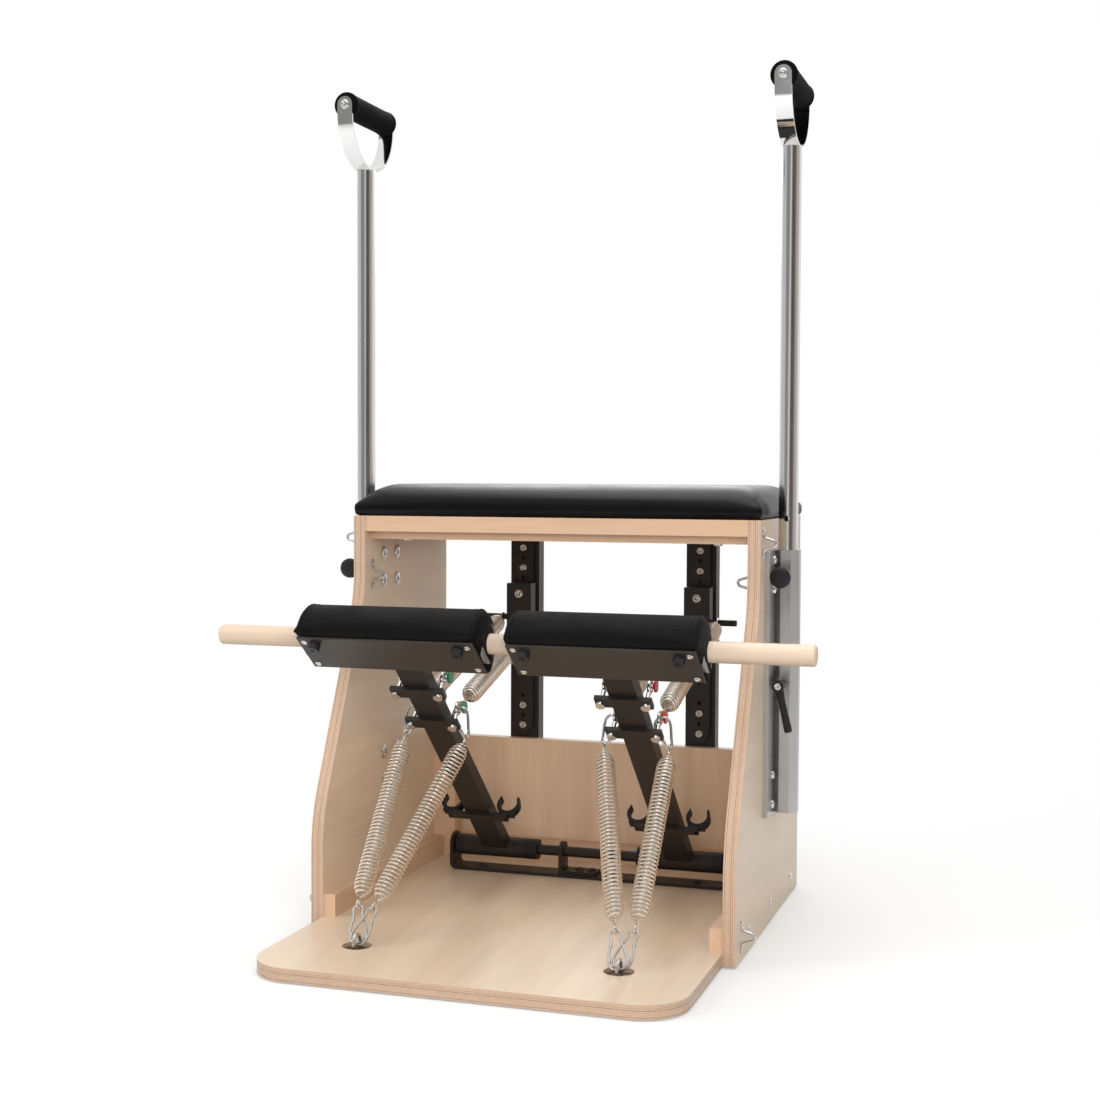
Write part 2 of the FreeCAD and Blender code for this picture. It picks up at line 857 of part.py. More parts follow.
# Spring posts behind the rear panel, with their rails, carriages and cross pins.
post_bolt_levels = []
rail_low = rear_top + S.post_rail_foot_gap
rail_high = seat_base - S.post_rail_top_drop
for row in POST_BOLT_ROWS:
    post_bolt_levels.append(rail_low + S.post_bolt_inset + row * S.post_bolt_pitch)
    post_bolt_levels.append(rail_high - S.post_bolt_inset - row * S.post_bolt_pitch)
post_hole_levels = [(rail_low + rail_high) / 2]
for share in POST_HOLE_ROWS_SHARES:
    post_hole_levels.append(rail_low + S.post_bolt_inset + share * S.post_bolt_pitch)
    post_hole_levels.append(rail_high - S.post_bolt_inset - share * S.post_bolt_pitch)


def spring_post(side, word):
    x = side * S.arm_offset
    rail_front_y = S.panel_depth - S.post_rail_thickness
    holes = [
        fasten("y", (x, rail_front_y, level), -1, S.post_rail_thickness + S.upright_wall)
        for level in post_bolt_levels
    ]
    low = ground + S.upright_foot
    high = seat_base - S.upright_top_drop
    back = S.panel_depth + S.upright_depth
    channel = between((x - S.upright_width / 2, S.panel_depth, low), (x + S.upright_width / 2, back, high))
    hollow = between(
        (x - S.upright_width / 2 + S.upright_wall, S.panel_depth + S.upright_wall, low - S.cut_overrun),
        (x + S.upright_width / 2 - S.upright_wall, back + S.cut_overrun, high + S.cut_overrun))
    half_rail = S.post_rail_width / 2
    foot = rod("y", (x, S.panel_depth - S.post_rail_thickness / 2, rail_low + half_rail), half_rail,
               S.post_rail_thickness)
    flat = between((x - half_rail, rail_front_y, rail_low + half_rail),
                   (x + half_rail, S.panel_depth, rail_high))
    settings = [
        rod("y", (x, rail_front_y + S.post_rail_thickness / 2, level), S.post_hole_radius,
            S.post_rail_thickness + 2 * S.cut_overrun)
        for level in post_hole_levels
    ]
    rail = cut(fuse([foot, flat]), holes + settings)
    group([cut(channel, [hollow] + holes), rail], f"spring_upright_{word}")
    clamp = fasten("y", (x, carriage_front, carriage_z + S.carriage_bolt_rise), -1, S.carriage_thickness / 2,
                   head=S.bolt_head + S.screw_head_height)
    pin_hole = rod("x", (x, cross_pin_y, cross_pin_z), S.cross_pin_radius + S.shank_fit,
                   S.carriage_width + 2 * S.cut_overrun)
    slider = block((x, cross_pin_y, carriage_z), (S.carriage_width, S.carriage_thickness, S.carriage_height))
    carriages.append(cut(slider, [clamp, pin_hole]))
    carriages.append(rod("x", (x, cross_pin_y, cross_pin_z), S.cross_pin_radius, S.cross_pin_length))


carriages = []
for side, word in SIDES:
    spring_post(side, word)
group(carriages, "spring_carriages")


# Pedal pivot.
def round_bends(body):
    # The strap is folded up at both ends, and each fold is round outside and in.
    doc.recompute()
    wall = S.bracket_thickness.value
    outside = S.bracket_bend.value
    corner_x = (S.bracket_span / 2).value
    edges = []
    for index, edge in enumerate(body.Shape.Edges, start=1):
        middle = edge.CenterOfMass
        for step in (0, 1):
            off_x = abs(abs(middle.x) - corner_x + step * wall)
            off_z = abs(middle.z - board_top.value - step * wall)
            if off_x < SAME_PLACE and off_z < SAME_PLACE:
                radius = outside - step * wall
                edges.append((index, radius, radius))
    rounded = doc.addObject("Part::Fillet", "Rounded")
    rounded.Base = body
    rounded.Edges = edges
    return rounded


def pivot_bracket():
    half = S.bracket_span / 2
    wall = S.bracket_thickness
    low_y = pivot_y - S.bracket_width / 2
    high_y = pivot_y + S.bracket_width / 2
    pieces = [between((-half, low_y, board_top), (half, high_y, board_top + wall))]
    for side, word in SIDES:
        inner = side * (half - wall)
        pieces.append(span((inner, low_y, board_top), (side * half, high_y, pivot_z)))
        pieces.append(rod("x", (side * (half - wall / 2), pivot_y, pivot_z), S.bracket_width / 2, wall))
    bore = rod("x", (ZERO, pivot_y, pivot_z), S.shaft_radius + S.shank_fit, S.bracket_span + S.bracket_width)
    strap = fuse(pieces)
    strap.Refine = True
    cut(round_bends(strap), [bore] + bracket_holes + support_holes, "pivot_bracket")
    named(rod("x", (ZERO, pivot_y, pivot_z), S.shaft_radius, S.bracket_span), "pivot_shaft")


pivot_bracket()


def shaft_support():
    left = -S.support_offset - S.support_thickness / 2
    right = left + S.support_thickness
    radius = S.shaft_radius + S.support_margin
    foot = board_top + S.bracket_thickness
    pieces = [
        between((left, pivot_y - radius, foot), (right, pivot_y + radius, pivot_z)),
        rod("x", (-S.support_offset, pivot_y, pivot_z), radius, S.support_thickness),
        between((left, pivot_y - radius, foot), (left + S.support_foot, pivot_y + radius,
                                                 foot + S.bracket_thickness)),
    ]
    bore = rod("x", (-S.support_offset, pivot_y, pivot_z), S.shaft_radius + S.shank_fit, S.support_foot)
    cut(fuse(pieces), [bore] + support_holes, "shaft_support")


shaft_support()


# Pedals: welded arm, fittings, core, pad, plate and screws.
def pedal_outline(radius, base):
    middle = -S.pad_lean
    shoulder = -S.pad_shoulder
    corner = S.pad_corner
    left = middle - radius
    right = middle + radius
    return [
        (left + corner, base),
        (right - corner, base, right - corner, base + corner),
        (right, base + corner),
        (right, shoulder, middle, shoulder),
        (middle, shoulder + radius, middle, shoulder),
        (left, shoulder),
        (left, base + corner, left + corner, base + corner),
    ]


def pedal_arm(side, word):
    x = side * S.arm_offset
    sleeve_x = x + side * S.sleeve_shift
    tube_radius = S.dowel_radius + S.running_fit + S.dowel_tube_wall
    face = -S.arm_depth / 2
    stub = S.sleeve_radius - S.arm_wall
    top = S.arm_reach - S.dowel_radius - S.running_fit
    outer = between((x - S.arm_width / 2, -top, face), (x + S.arm_width / 2, -stub, S.arm_depth / 2))
    inner = between((x - S.arm_width / 2 + S.arm_wall, S.cut_overrun - S.arm_reach, face + S.arm_wall),
                    (x + S.arm_width / 2 - S.arm_wall, S.cut_overrun - stub, S.arm_depth / 2 - S.arm_wall))
    pieces = [
        cut(outer, [inner]),
        rod("x", (sleeve_x, ZERO, ZERO), S.sleeve_radius, S.sleeve_length),
        rod("x", (x, -S.arm_reach, ZERO), tube_radius, S.core_length),
    ]
    for reach in wing_reaches:
        pieces.append(block((x, -reach, face - S.wing_thickness / 2),
                            (S.wing_length, S.wing_width, S.wing_thickness)))
    pieces.append(block((x, -S.clip_bar_reach, face - S.wing_thickness / 2),
                        (S.clip_bar_length, S.clip_bar_width, S.wing_thickness)))
    bores = [
        rod("x", (sleeve_x, ZERO, ZERO), S.bush_spigot_radius, S.sleeve_length + 2 * S.cut_overrun),
        rod("x", (x, -S.arm_reach, ZERO), S.dowel_radius + S.running_fit, S.core_length + 2 * S.cut_overrun),
    ]
    bolt_bores = [
        rod("z", (x + step * S.eye_spread, -reach, face - S.wing_thickness / 2),
            S.eye_shank + S.shank_fit, S.wing_thickness + 2 * S.cut_overrun)
        for reach in wing_reaches
        for step in (-1, 1)
    ]
    clip_bores = [
        rod("z", (x + step * S.clip_spread, -S.clip_bar_reach, face - S.wing_thickness / 2),
            S.bolt_shank + S.shank_fit, S.wing_thickness + 2 * S.cut_overrun)
        for step in (-1, 1)
    ]
    tilt_about_x(cut(fuse(pieces), bores + bolt_bores + clip_bores, f"pedal_arm_{word}"), *ARM)


def pivot_bushes(side, word):
    sleeve_x = side * (S.arm_offset + S.sleeve_shift)
    bushes = []
    for end, collar in ((side, S.bush_outer_collar), (-side, S.bush_inner_collar)):
        face = sleeve_x + end * S.sleeve_length / 2
        spigot = S.bush_spigot_length
        pieces = [
            rod("x", (face + end * collar / 2, ZERO, ZERO), S.sleeve_radius, collar),
            rod("x", (face - end * spigot / 2, ZERO, ZERO), S.bush_spigot_radius, spigot),
        ]
        bore = rod("x", (face, ZERO, ZERO), S.shaft_radius + S.running_fit, S.sleeve_length)
        bushes.append(cut(fuse(pieces), [bore]))
    tilt_about_x(group(bushes, f"pivot_bushes_{word}"), *ARM)


def storage_clips(side, word):
    x = side * S.arm_offset
    face = -S.arm_depth / 2
    outer = S.clip_inner + S.clip_wall
    clips = []
    for step in (-1, 1):
        place = (x + step * S.clip_spread, -S.clip_bar_reach, face + outer)
        hoop = rod("y", place, outer, S.clip_width)
        foot = block((place[0], place[1], face + S.clip_wall / 2), (outer, S.clip_width, S.clip_wall))
        bore = rod("y", place, S.clip_inner, S.clip_width + 2 * S.cut_overrun)
        mouth = between((place[0] - S.clip_mouth / 2, place[1] - outer, place[2]),
                        (place[0] + S.clip_mouth / 2, place[1] + outer, place[2] + 2 * outer))
        screw_hole = rod("z", (place[0], place[1], face), S.bolt_shank + S.shank_fit, 2 * outer)
        clips.append(cut(fuse([hoop, foot]), [bore, mouth, screw_hole]))
    tilt_about_x(group(clips, f"storage_clips_{word}"), *ARM)


def eye_bolts(side, word):
    x = side * S.arm_offset
    under = -S.arm_depth / 2 - S.wing_thickness
    bolts = []
    tags = []
    for reach in wing_reaches:
        for step in (-1, 1):
            place = (x + step * S.eye_spread, -reach, eye_lift)
            shank_length = eye_lift - S.eye_radius - under
            pieces = [
                ring(place, S.eye_radius, S.eye_wire, AXIS_TURNS["x"]),
                rod("z", (place[0], place[1], under + shank_length / 2), S.eye_shank, shank_length),
                rod("z", (place[0], place[1], under - S.eye_head_height / 2), S.eye_head_radius,
                    S.eye_head_height),
            ]
            bolts.append(fuse(pieces))
            tag_x = place[0] + S.eye_wire + S.clear_gap + S.tag_thickness / 2
            tag_y = place[1] + S.tag_away * cos(S.tag_lean)
            tag_z = place[2] + S.tag_away * sin(S.tag_lean)
            tags.append(rod("x", (tag_x, tag_y, tag_z), S.tag_radius, S.tag_thickness))
    tilt_about_x(group(bolts, f"eye_bolts_{word}"), *ARM)
    tilt_about_x(group(tags, f"colour_tags_{word}"), *ARM)


def pedal_top(side, word):
    x = side * S.arm_offset
    half_core = S.core_length / 2
    half_pad = S.pad_length / 2
    tube_radius = S.dowel_radius + S.running_fit + S.dowel_tube_wall + S.shank_fit
    axis_place = (x, ZERO, ZERO)
    slot_box = between(
        (x - S.arm_width / 2 - S.clear_gap, -S.arm_reach, -S.arm_depth / 2 - S.clear_gap),
        (x + S.arm_width / 2 + S.clear_gap, S.pad_radius * 2 - S.arm_reach, S.arm_depth / 2 + S.clear_gap))
    slot = tilt_about_x(group([slot_box]), *ARM)
    stems = thumbscrew_places(side)
    bores = [rod("z", (place, -row, -S.pad_base), S.thumbscrew_stem + S.clear_gap, 2 * S.thumbscrew_reach
                 + 2 * S.cut_overrun) for place, row in stems]
    core_body = profile(pedal_outline(S.pad_radius - S.pad_foam, -S.pad_base), x - half_core, S.core_length)
    core_bore = rod("x", axis_place, tube_radius, S.pad_length)
    screws = plate_screws(side, word)
    core = cut(core_body, [core_bore] + bores + screws)
    cut(tilt_about_x_body(core), [slot], f"pedal_core_{word}")
    shell_body = profile(pedal_outline(S.pad_radius, -S.pad_base), x - half_pad, S.pad_length)
    shell = round_ends(shell_body)
    cavity = profile(pedal_outline(S.pad_radius - S.pad_foam, -S.pad_base), x - half_core, S.core_length)
    end_hole = rod("x", axis_place, S.end_plate_radius + S.shank_fit, S.pad_length * 2)
    pad = cut(shell, [cavity, end_hole] + bores + screws)
    cut(tilt_about_x_body(pad), [slot], f"pedal_pad_{word}")
    low = S.plate_rise - S.plate_width
    plate = between((x - S.plate_length / 2, -S.plate_rise, -S.pad_base - S.plate_thickness),
                    (x + S.plate_length / 2, -low, -S.pad_base))
    tilt_about_x(cut(plate, bores + screws, f"pedal_plate_{word}"), *PEDAL)
    ends = []
    for end in (-1, 1):
        centre = (x + end * (half_core + S.end_plate_thickness / 2), ZERO, ZERO)
        disc = rod("x", centre, S.end_plate_radius, S.end_plate_thickness)
        bore = rod("x", centre, S.dowel_radius + S.running_fit, S.end_plate_thickness + 2 * S.cut_overrun)
        ends.append(cut(disc, [bore]))
    tilt_about_x(group(ends, f"pedal_end_plates_{word}"), *PEDAL)


def tilt_about_x_body(thing):
    return tilt_about_x(thing, *PEDAL)


def round_ends(body):
    doc.recompute()
    shape = body.Shape
    box = shape.BoundBox
    edges = []
    for index, edge in enumerate(shape.Edges, start=1):
        at_end = min(abs(edge.CenterOfMass.x - box.XMin), abs(edge.CenterOfMass.x - box.XMax))
        if at_end < SAME_PLACE and edge.BoundBox.XLength < SAME_PLACE:
            edges.append((index, S.pad_end_round.value, S.pad_end_round.value))
    rounded = doc.addObject("Part::Fillet", "Rounded")
    rounded.Base = body
    rounded.Edges = edges
    return rounded


def thumbscrew_places(side):
    half = S.plate_length / 2 - S.thumbscrew_inset
    row = S.plate_rise - S.thumbscrew_drop
    return [(side * S.arm_offset + end * half, row) for end in (-1, 1)]


def plate_screws(side, word):
    face = -S.pad_base - S.plate_thickness
    inset = S.plate_screw_inset
    drills = []
    screws = []
    for end in (-1, 1):
        for row in (S.plate_rise - inset, S.plate_rise - S.plate_width + inset):
            place = (side * S.arm_offset + end * (S.plate_length / 2 - inset), -row, face)
            reach = S.plate_thickness + S.screw_reach
            screws.append(bolt("z", place, -1, reach, S.eye_shank, S.screw_head, S.screw_head_height))
            drills.append(drill("z", place, -1, reach, S.eye_shank + S.shank_fit))
    tilt_about_x(group(screws, f"pedal_screws_{word}"), *PEDAL)
    return drills


def thumbscrews(side, word):
    face = -S.pad_base - S.plate_thickness
    ends = ("outer", "inner") if side < 0 else ("inner", "outer")
    for end, (place, row) in zip(ends, thumbscrew_places(side)):
        seat = (place, -row, face)
        screw = bolt("z", seat, -1, S.thumbscrew_reach, S.thumbscrew_stem, S.thumbscrew_radius,
                     S.thumbscrew_height)
        tilt_about_x(named(screw, f"thumbscrew_{word}_{end}"), *PEDAL)


for side, word in SIDES:
    pedal_arm(side, word)
    pivot_bushes(side, word)
    storage_clips(side, word)
    eye_bolts(side, word)
    pedal_top(side, word)
    thumbscrews(side, word)


def dowel():
    stick = rod("x", (ZERO, dowel_y, dowel_z), S.dowel_radius, S.dowel_length)
    doc.recompute()
    rims = [
        (index, S.dowel_round.value, S.dowel_round.value)
        for index, edge in enumerate(stick.Shape.Edges, start=1)
        if edge.BoundBox.XLength < SAME_PLACE
    ]
    rounded = doc.addObject("Part::Fillet", "Rounded")
    rounded.Base = stick
    rounded.Edges = rims
    named(rounded, "dowel")


dowel()


# Springs, their snap hooks and the floor anchors.
def floor_anchors():
    bow_turn = Rotation(Vector(0, 1, 0), Vector(0, 0, 1), Vector(1, 0, 0), "XYZ")
    anchors = []
    for side, word in SIDES:
        x = side * S.anchor_offset
        floor = board_top - S.anchor_depth
        pieces = [
            rod("z", (x, -S.anchor_reach, floor + S.anchor_plate / 2), S.anchor_radius - S.clear_gap,
                S.anchor_plate),
            ring((x, -S.anchor_reach, board_top + S.anchor_rise), S.anchor_bow, S.anchor_wire, bow_turn, 180),
        ]
        leg = S.anchor_depth + S.anchor_rise
        for step in (-1, 1):
            leg_y = step * S.anchor_bow - S.anchor_reach
            pieces.append(rod("z", (x, leg_y, floor + leg / 2), S.anchor_wire, leg))
        anchors.append(fuse(pieces))
    group(anchors, "floor_anchors")


floor_anchors()


def front_springs(side, word):
    # Each spring hangs between a snap hook on a lower eye bolt and one on the floor anchor.
    across = Vector(1, 0, 0)
    springs = []
    pedal_hooks = []
    for step in (-1, 1):
        outer = step == side
        eye = point(in_arm(side * S.arm_offset + step * S.eye_spread, wing_reaches[1], eye_lift))
        anchor = point((side * S.anchor_offset, -S.anchor_reach, board_top + S.anchor_rise))
        anchor.y += (1 if outer else -1) * S.hook_side_step.value
        anchor.z += S.hook_wire.value
        slope = Vector(0, anchor.y - eye.y, anchor.z - eye.z).normalize()
        floor_along = (slope * -S.floor_hook_length.value + across * (step * S.hook_spread.value)).normalize()
        floor_hooks.append(hook(anchor, floor_along, S.floor_hook_length.value))
        steep = math.radians(S.arm_tilt.value - S.hook_lean.value)
        down = Vector(0, -math.sin(steep), -math.cos(steep))
        aside = across * step
        drop = S.pedal_hook_length.value
        corners = [
            eye - aside * S.hook_nose_back.value + down * S.hook_nose_drop.value,
            eye - aside * S.hook_nose_back.value,
            eye + aside * S.hook_far.value,
            eye + aside * S.hook_foot_far.value + down * drop,
            eye + aside * S.hook_foot_near.value + down * drop,
            eye + aside * S.hook_near.value + down * S.hook_nose_drop.value,
        ]
        pedal_hooks.append(bent_link(corners, S.hook_bend.value, S.hook_wire.value))
        seat_gap = S.hook_wire.value + S.clear_gap.value
        top = (corners[3] + corners[4]) / 2 + down * (seat_gap + 2 * S.clear_gap.value)
        foot = anchor + floor_along * (S.floor_hook_length.value + seat_gap)
        shape, gap = coil(foot, top, S.front_coil_radius.value, S.front_coil_wire.value, FRONT_TURNS,
                          S.front_coil_wire.value)
        springs.append(feature(shape))
        print(f"front spring {word} {step}: least gap {gap:.2f} mm")
    group(springs, f"front_springs_{word}")
    group([feature(link) for link in pedal_hooks], f"pedal_snap_hooks_{word}")


def hook(apex, along, length):
    aside = Vector(1, 0, 0)
    aside = (aside - along * aside.dot(along)).normalize()
    return pear_link(apex, along, aside, length, S.hook_wide.value, S.hook_narrow.value, S.hook_wire.value)


def rear_springs(side, word):
    springs = []
    for step in (-1, 1):
        x = side * S.arm_offset + step * S.eye_spread
        eye = point(in_arm(x, wing_reaches[1], eye_lift))
        pin = point((x, cross_pin_y, cross_pin_z))
        along = (pin - eye).normalize()
        low = eye + along * (S.eye_radius + S.eye_wire + S.clear_gap).value
        high = pin - along * (S.cross_pin_radius + S.clear_gap).value
        shape, gap = coil(low, high, S.rear_coil_radius.value, S.rear_coil_wire.value, REAR_TURNS,
                          S.rear_hook_run.value)
        springs.append(feature(shape))
        print(f"rear spring {word} {step}: least gap {gap:.2f} mm")
    group(springs, f"rear_springs_{word}")


floor_hooks = []
for side, word in SIDES:
    front_springs(side, word)
    rear_springs(side, word)
group([feature(link) for link in floor_hooks], "floor_snap_hooks")


# Hand poles with yokes and grips, their guides, index pins and clamp levers.
def pole_guide(side, word):
    x = side * pole_x
    level = (guide_low + guide_high) / 2
    flat = S.pole_radius + S.running_fit + S.guide_wall
    prism = doc.addObject("Part::Prism", "Prism")
    prism.Polygon = GUIDE_SIDES
    half_turn = math.pi / GUIDE_SIDES
    prism.setExpression("Circumradius", f"{flat.text} / cos({180 / GUIDE_SIDES} * 1 deg)")
    prism.setExpression("Height", S.guide_length.text)
    move(prism, (x, pole_y, guide_low), Rotation(Vector(0, 0, 1), math.degrees(half_turn)))
    plate = span((side * panel_out, pole_y - S.guide_plate_width / 2, guide_low),
                 (side * (panel_out + S.guide_plate_thickness), pole_y + S.guide_plate_width / 2, guide_high))
    pieces = [prism, plate]
    bores = [rod("z", (x, pole_y, level), S.pole_radius + S.running_fit, S.guide_length + 2 * S.cut_overrun)]
    for height, radius in ((index_z, S.index_radius), (lever_z, S.index_radius)):
        front = pole_y - flat - S.boss_length
        pieces.append(rod("y", (x, front + S.boss_length, height), S.boss_radius, 2 * S.boss_length))
        bores.append(rod("y", (x, front + S.boss_length / 2, height), radius + S.running_fit, 2 * flat))
    cut(fuse(pieces), bores + guide_holes[word], f"pole_guide_{word}")


def handle_pole(side, word):
    # A tube with a strap yoke on top: half a hoop, then straight legs up to the lugs of the grip.
    x = side * pole_x
    hoop_z = grip_z - S.yoke_leg
    top = hoop_z - S.yoke_radius + S.yoke_thickness / 2
    middle = (pole_low + top) / 2
    height = top - pole_low
    half = S.yoke_width / 2
    hoop_inner = S.yoke_radius - S.yoke_thickness
    hoop = cut(rod("x", (x, pole_y, hoop_z), S.yoke_radius, S.yoke_width),
               [rod("x", (x, pole_y, hoop_z), hoop_inner, S.yoke_width + 2 * S.cut_overrun),
                block((x, pole_y, hoop_z + S.yoke_radius), (S.yoke_radius * 3, S.yoke_radius * 3,
                                                            S.yoke_radius * 2))])
    pieces = [hoop, rod("z", (x, pole_y, middle), S.pole_radius, height)]
    lug_holes = []
    for end in (-1, 1):
        lug_y = pole_y + end * (S.yoke_radius - S.yoke_thickness / 2)
        pieces.append(rod("y", (x, lug_y, grip_z), half, S.yoke_thickness))
        pieces.append(block((x, lug_y, grip_z - S.yoke_leg / 2),
                            (S.yoke_width, S.yoke_thickness, S.yoke_leg)))
        lug_holes.append(rod("y", (x, lug_y, grip_z), S.grip_core + S.shank_fit, S.yoke_thickness * 3))
    inside = rod("z", (x, pole_y, middle - S.yoke_thickness), S.pole_radius - S.pole_wall, height)
    holes = [
        rod("y", (x, pole_y - S.pole_radius, index_z + step * S.pole_hole_pitch), S.pole_hole_radius,
            S.pole_radius)
        for step in range(-POLE_HOLES_BELOW, 2)
    ]
    cut(fuse(pieces), [inside] + holes + lug_holes, f"handle_pole_{word}")
    grip_length = 2 * (root(hoop_inner * hoop_inner - S.grip_radius * S.grip_radius) - S.clear_gap)
    screw_reach = S.yoke_thickness + S.yoke_width
    grip = rod("y", (x, pole_y, grip_z), S.grip_radius, grip_length)
    drills = []
    screws = []
    for end in (-1, 1):
        seat = (x, pole_y + end * S.yoke_radius, grip_z)
        screws.append(bolt("y", seat, end, screw_reach, S.grip_core, S.grip_screw_radius,
                           S.grip_screw_height))
        drills.append(drill("y", seat, end, screw_reach, S.grip_core + S.shank_fit))
    group([cut(grip, drills)] + screws, f"handle_grip_{word}")


def index_pin(side, word):
    x = side * pole_x
    face = pole_y - S.pole_radius - S.running_fit - S.guide_wall - S.boss_length
    tip = pole_y - S.pole_radius - S.clear_gap
    knob_back = face - S.index_neck + S.index_knob_length
    stem = rod("y", (x, (tip + knob_back) / 2, index_z), S.index_radius, tip - knob_back)
    knob = rod("y", (x, knob_back - S.index_knob_length / 2, index_z), S.index_knob_radius,
               S.index_knob_length)
    fuse([stem, knob], f"index_pin_{word}")


def clamp_lever(side, word):
    x = side * pole_x
    face = pole_y - S.pole_radius - S.running_fit - S.guide_wall - S.boss_length
    tip = pole_y - S.pole_radius - S.clear_gap
    hub_back = face - S.lever_gap
    hub_middle = hub_back - S.lever_hub_length / 2
    stem = rod("y", (x, (tip + hub_back) / 2, lever_z), S.index_radius, tip - hub_back)
    hub = rod("y", (x, hub_middle, lever_z), S.lever_hub_radius, S.lever_hub_length)
    handle = doc.addObject("Part::Cone", "Handle")
    handle.setExpression("Radius1", S.lever_radius.text)
    handle.setExpression("Radius2", S.lever_tip_radius.text)
    handle.setExpression("Height", S.lever_length.text)
    turn = Rotation(Vector(0, 1, 0), 180 - side * S.lever_lean.value)
    move(handle, (x, hub_middle, lever_z), turn)
    fuse([stem, hub, handle], f"clamp_lever_{word}")


for side, word in SIDES:
    pole_guide(side, word)
    handle_pole(side, word)
    index_pin(side, word)
    clamp_lever(side, word)


def pad_eye(face, outward, y, level):
    # A bent wire bow between two flat feet, standing off a panel.
    aside = Vector(outward, 0, 0)
    turn = Rotation(Vector(0, 0, 1), aside, Vector(0, outward, 0), "XYZ")
    centre = face + outward * S.eye_plate_stand
    pieces = [ring((centre, y, level), S.eye_plate_bow, S.eye_plate_wire, turn, 180)]
    for step in (-1, 1):
        leg_z = level + step * S.eye_plate_bow
        pieces.append(rod("x", (face + outward * S.eye_plate_stand / 2, y, leg_z), S.eye_plate_wire,
                          S.eye_plate_stand))
        near = leg_z - step * S.eye_plate_wire
        far = near + step * S.eye_plate_foot
        pieces.append(span((face, y - S.eye_plate_width / 2, near),
                           (face + outward * S.eye_plate_thickness, y + S.eye_plate_width / 2, far)))
    return fuse(pieces)


def pad_eyes():
    eyes = []
    for side, word in SIDES:
        top_y = S.panel_setback + S.eye_plate_edge_gap
        low_z = ground + S.eye_plate_low_level
        eyes.append(pad_eye(side * panel_out, side, top_y, seat_base - S.eye_plate_top_drop))
        eyes.append(pad_eye(side * half_gap, -side, top_y + S.eye_plate_edge_gap / 2,
                            seat_base - S.eye_plate_inner_drop))
        eyes.append(pad_eye(side * panel_out, side, 2 * S.eye_plate_edge_gap, low_z))
    group(eyes, "pad_eyes")


pad_eyes()
group(fasteners, "frame_fasteners")

doc.recompute()
for thing in doc.Objects:
    if "Invalid" in thing.State or "Error" in thing.State:
        raise RuntimeError(f"{thing.Name} {thing.Label} failed: {thing.State}")
for node in NODES:
    if node.Shape.isNull() or not node.Shape.isValid():
        raise RuntimeError(f"{node.Label} has no valid shape")
os.makedirs("parts", exist_ok=True)
for node in NODES:
    node.Shape.exportStep(f"parts/{node.Label}.step")
print(len(NODES), "nodes written")
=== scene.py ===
from math import atan2, copysign, cos, hypot, pi, radians, sin
import bmesh
import bpy
from bmesh import ops
from mathutils import Matrix, Vector
from mathutils.bvhtree import BVHTree


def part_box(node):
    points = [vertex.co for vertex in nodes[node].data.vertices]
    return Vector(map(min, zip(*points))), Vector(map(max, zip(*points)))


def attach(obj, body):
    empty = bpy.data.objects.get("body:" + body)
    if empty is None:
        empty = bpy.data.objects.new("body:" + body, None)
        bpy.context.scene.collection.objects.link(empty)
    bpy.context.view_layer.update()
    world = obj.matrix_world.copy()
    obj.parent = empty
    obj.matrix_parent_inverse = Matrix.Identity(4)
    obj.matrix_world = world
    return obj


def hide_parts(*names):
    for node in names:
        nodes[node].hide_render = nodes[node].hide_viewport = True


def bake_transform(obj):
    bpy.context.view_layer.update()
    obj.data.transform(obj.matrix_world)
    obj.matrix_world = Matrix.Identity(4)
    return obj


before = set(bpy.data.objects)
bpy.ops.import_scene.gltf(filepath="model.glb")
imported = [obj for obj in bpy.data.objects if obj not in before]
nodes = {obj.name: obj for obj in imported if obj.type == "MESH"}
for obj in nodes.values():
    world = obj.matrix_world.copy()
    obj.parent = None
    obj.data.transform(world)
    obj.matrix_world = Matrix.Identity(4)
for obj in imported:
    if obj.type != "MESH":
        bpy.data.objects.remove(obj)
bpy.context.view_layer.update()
scene = bpy.context.scene
sides = ((-1, "left"), (1, "right"))
white = (1, 1, 1, 1)
print("stage: frame loaded,", len(nodes), "nodes")


# shader helpers: an output is linked to a socket, and a plain value is set on it
def add(owner, kind, inputs=(), **settings):
    tree = owner.node_tree
    node = tree.nodes.new("ShaderNode" + kind)
    for key, value in settings.items():
        setattr(node, key, value)
    for key, value in dict(inputs).items():
        if isinstance(value, bpy.types.NodeSocket):
            tree.links.new(value, node.inputs[key])
        else:
            node.inputs[key].default_value = value
    return node


def startMaterial(name):
    mat = bpy.data.materials.new(name)
    mat.use_nodes = True
    mat.node_tree.nodes.clear()
    return mat


def output(mat, kind, inputs):
    add(mat, "OutputMaterial", {"Surface": add(mat, kind, inputs).outputs[0]})
    return mat


def surface(mat, colour, rough, normal=None, **more):
    names = {"metal": "Metallic", "gloss": "Specular IOR Level", "coat": "Coat Weight", "coatRough": "Coat Roughness"}
    inputs = {"Base Color": colour, "Roughness": rough, **{names[key]: value for key, value in more.items()}}
    if normal is not None:
        inputs["Normal"] = normal
    return output(mat, "BsdfPrincipled", inputs)


def grey(level):
    return (level, level, level)


def dim(tone, share):
    return tuple(share * level for level in tone)


def stretched(along, run, cross):
    return tuple(run if axis == along else cross for axis in "xyz")


def axes(mat):
    return add(mat, "SeparateXYZ", {"Vector": add(mat, "TexCoord").outputs["Object"]}).outputs


def calc(owner, operation, *values):
    return add(owner, "Math", dict(enumerate(values)), operation=operation).outputs["Value"]


def objectSpace(mat, scale, turn=(0, 0, 0)):
    coords = add(mat, "TexCoord").outputs["Object"]
    return add(mat, "Mapping", {"Vector": coords, "Scale": scale, "Rotation": turn}).outputs["Vector"]


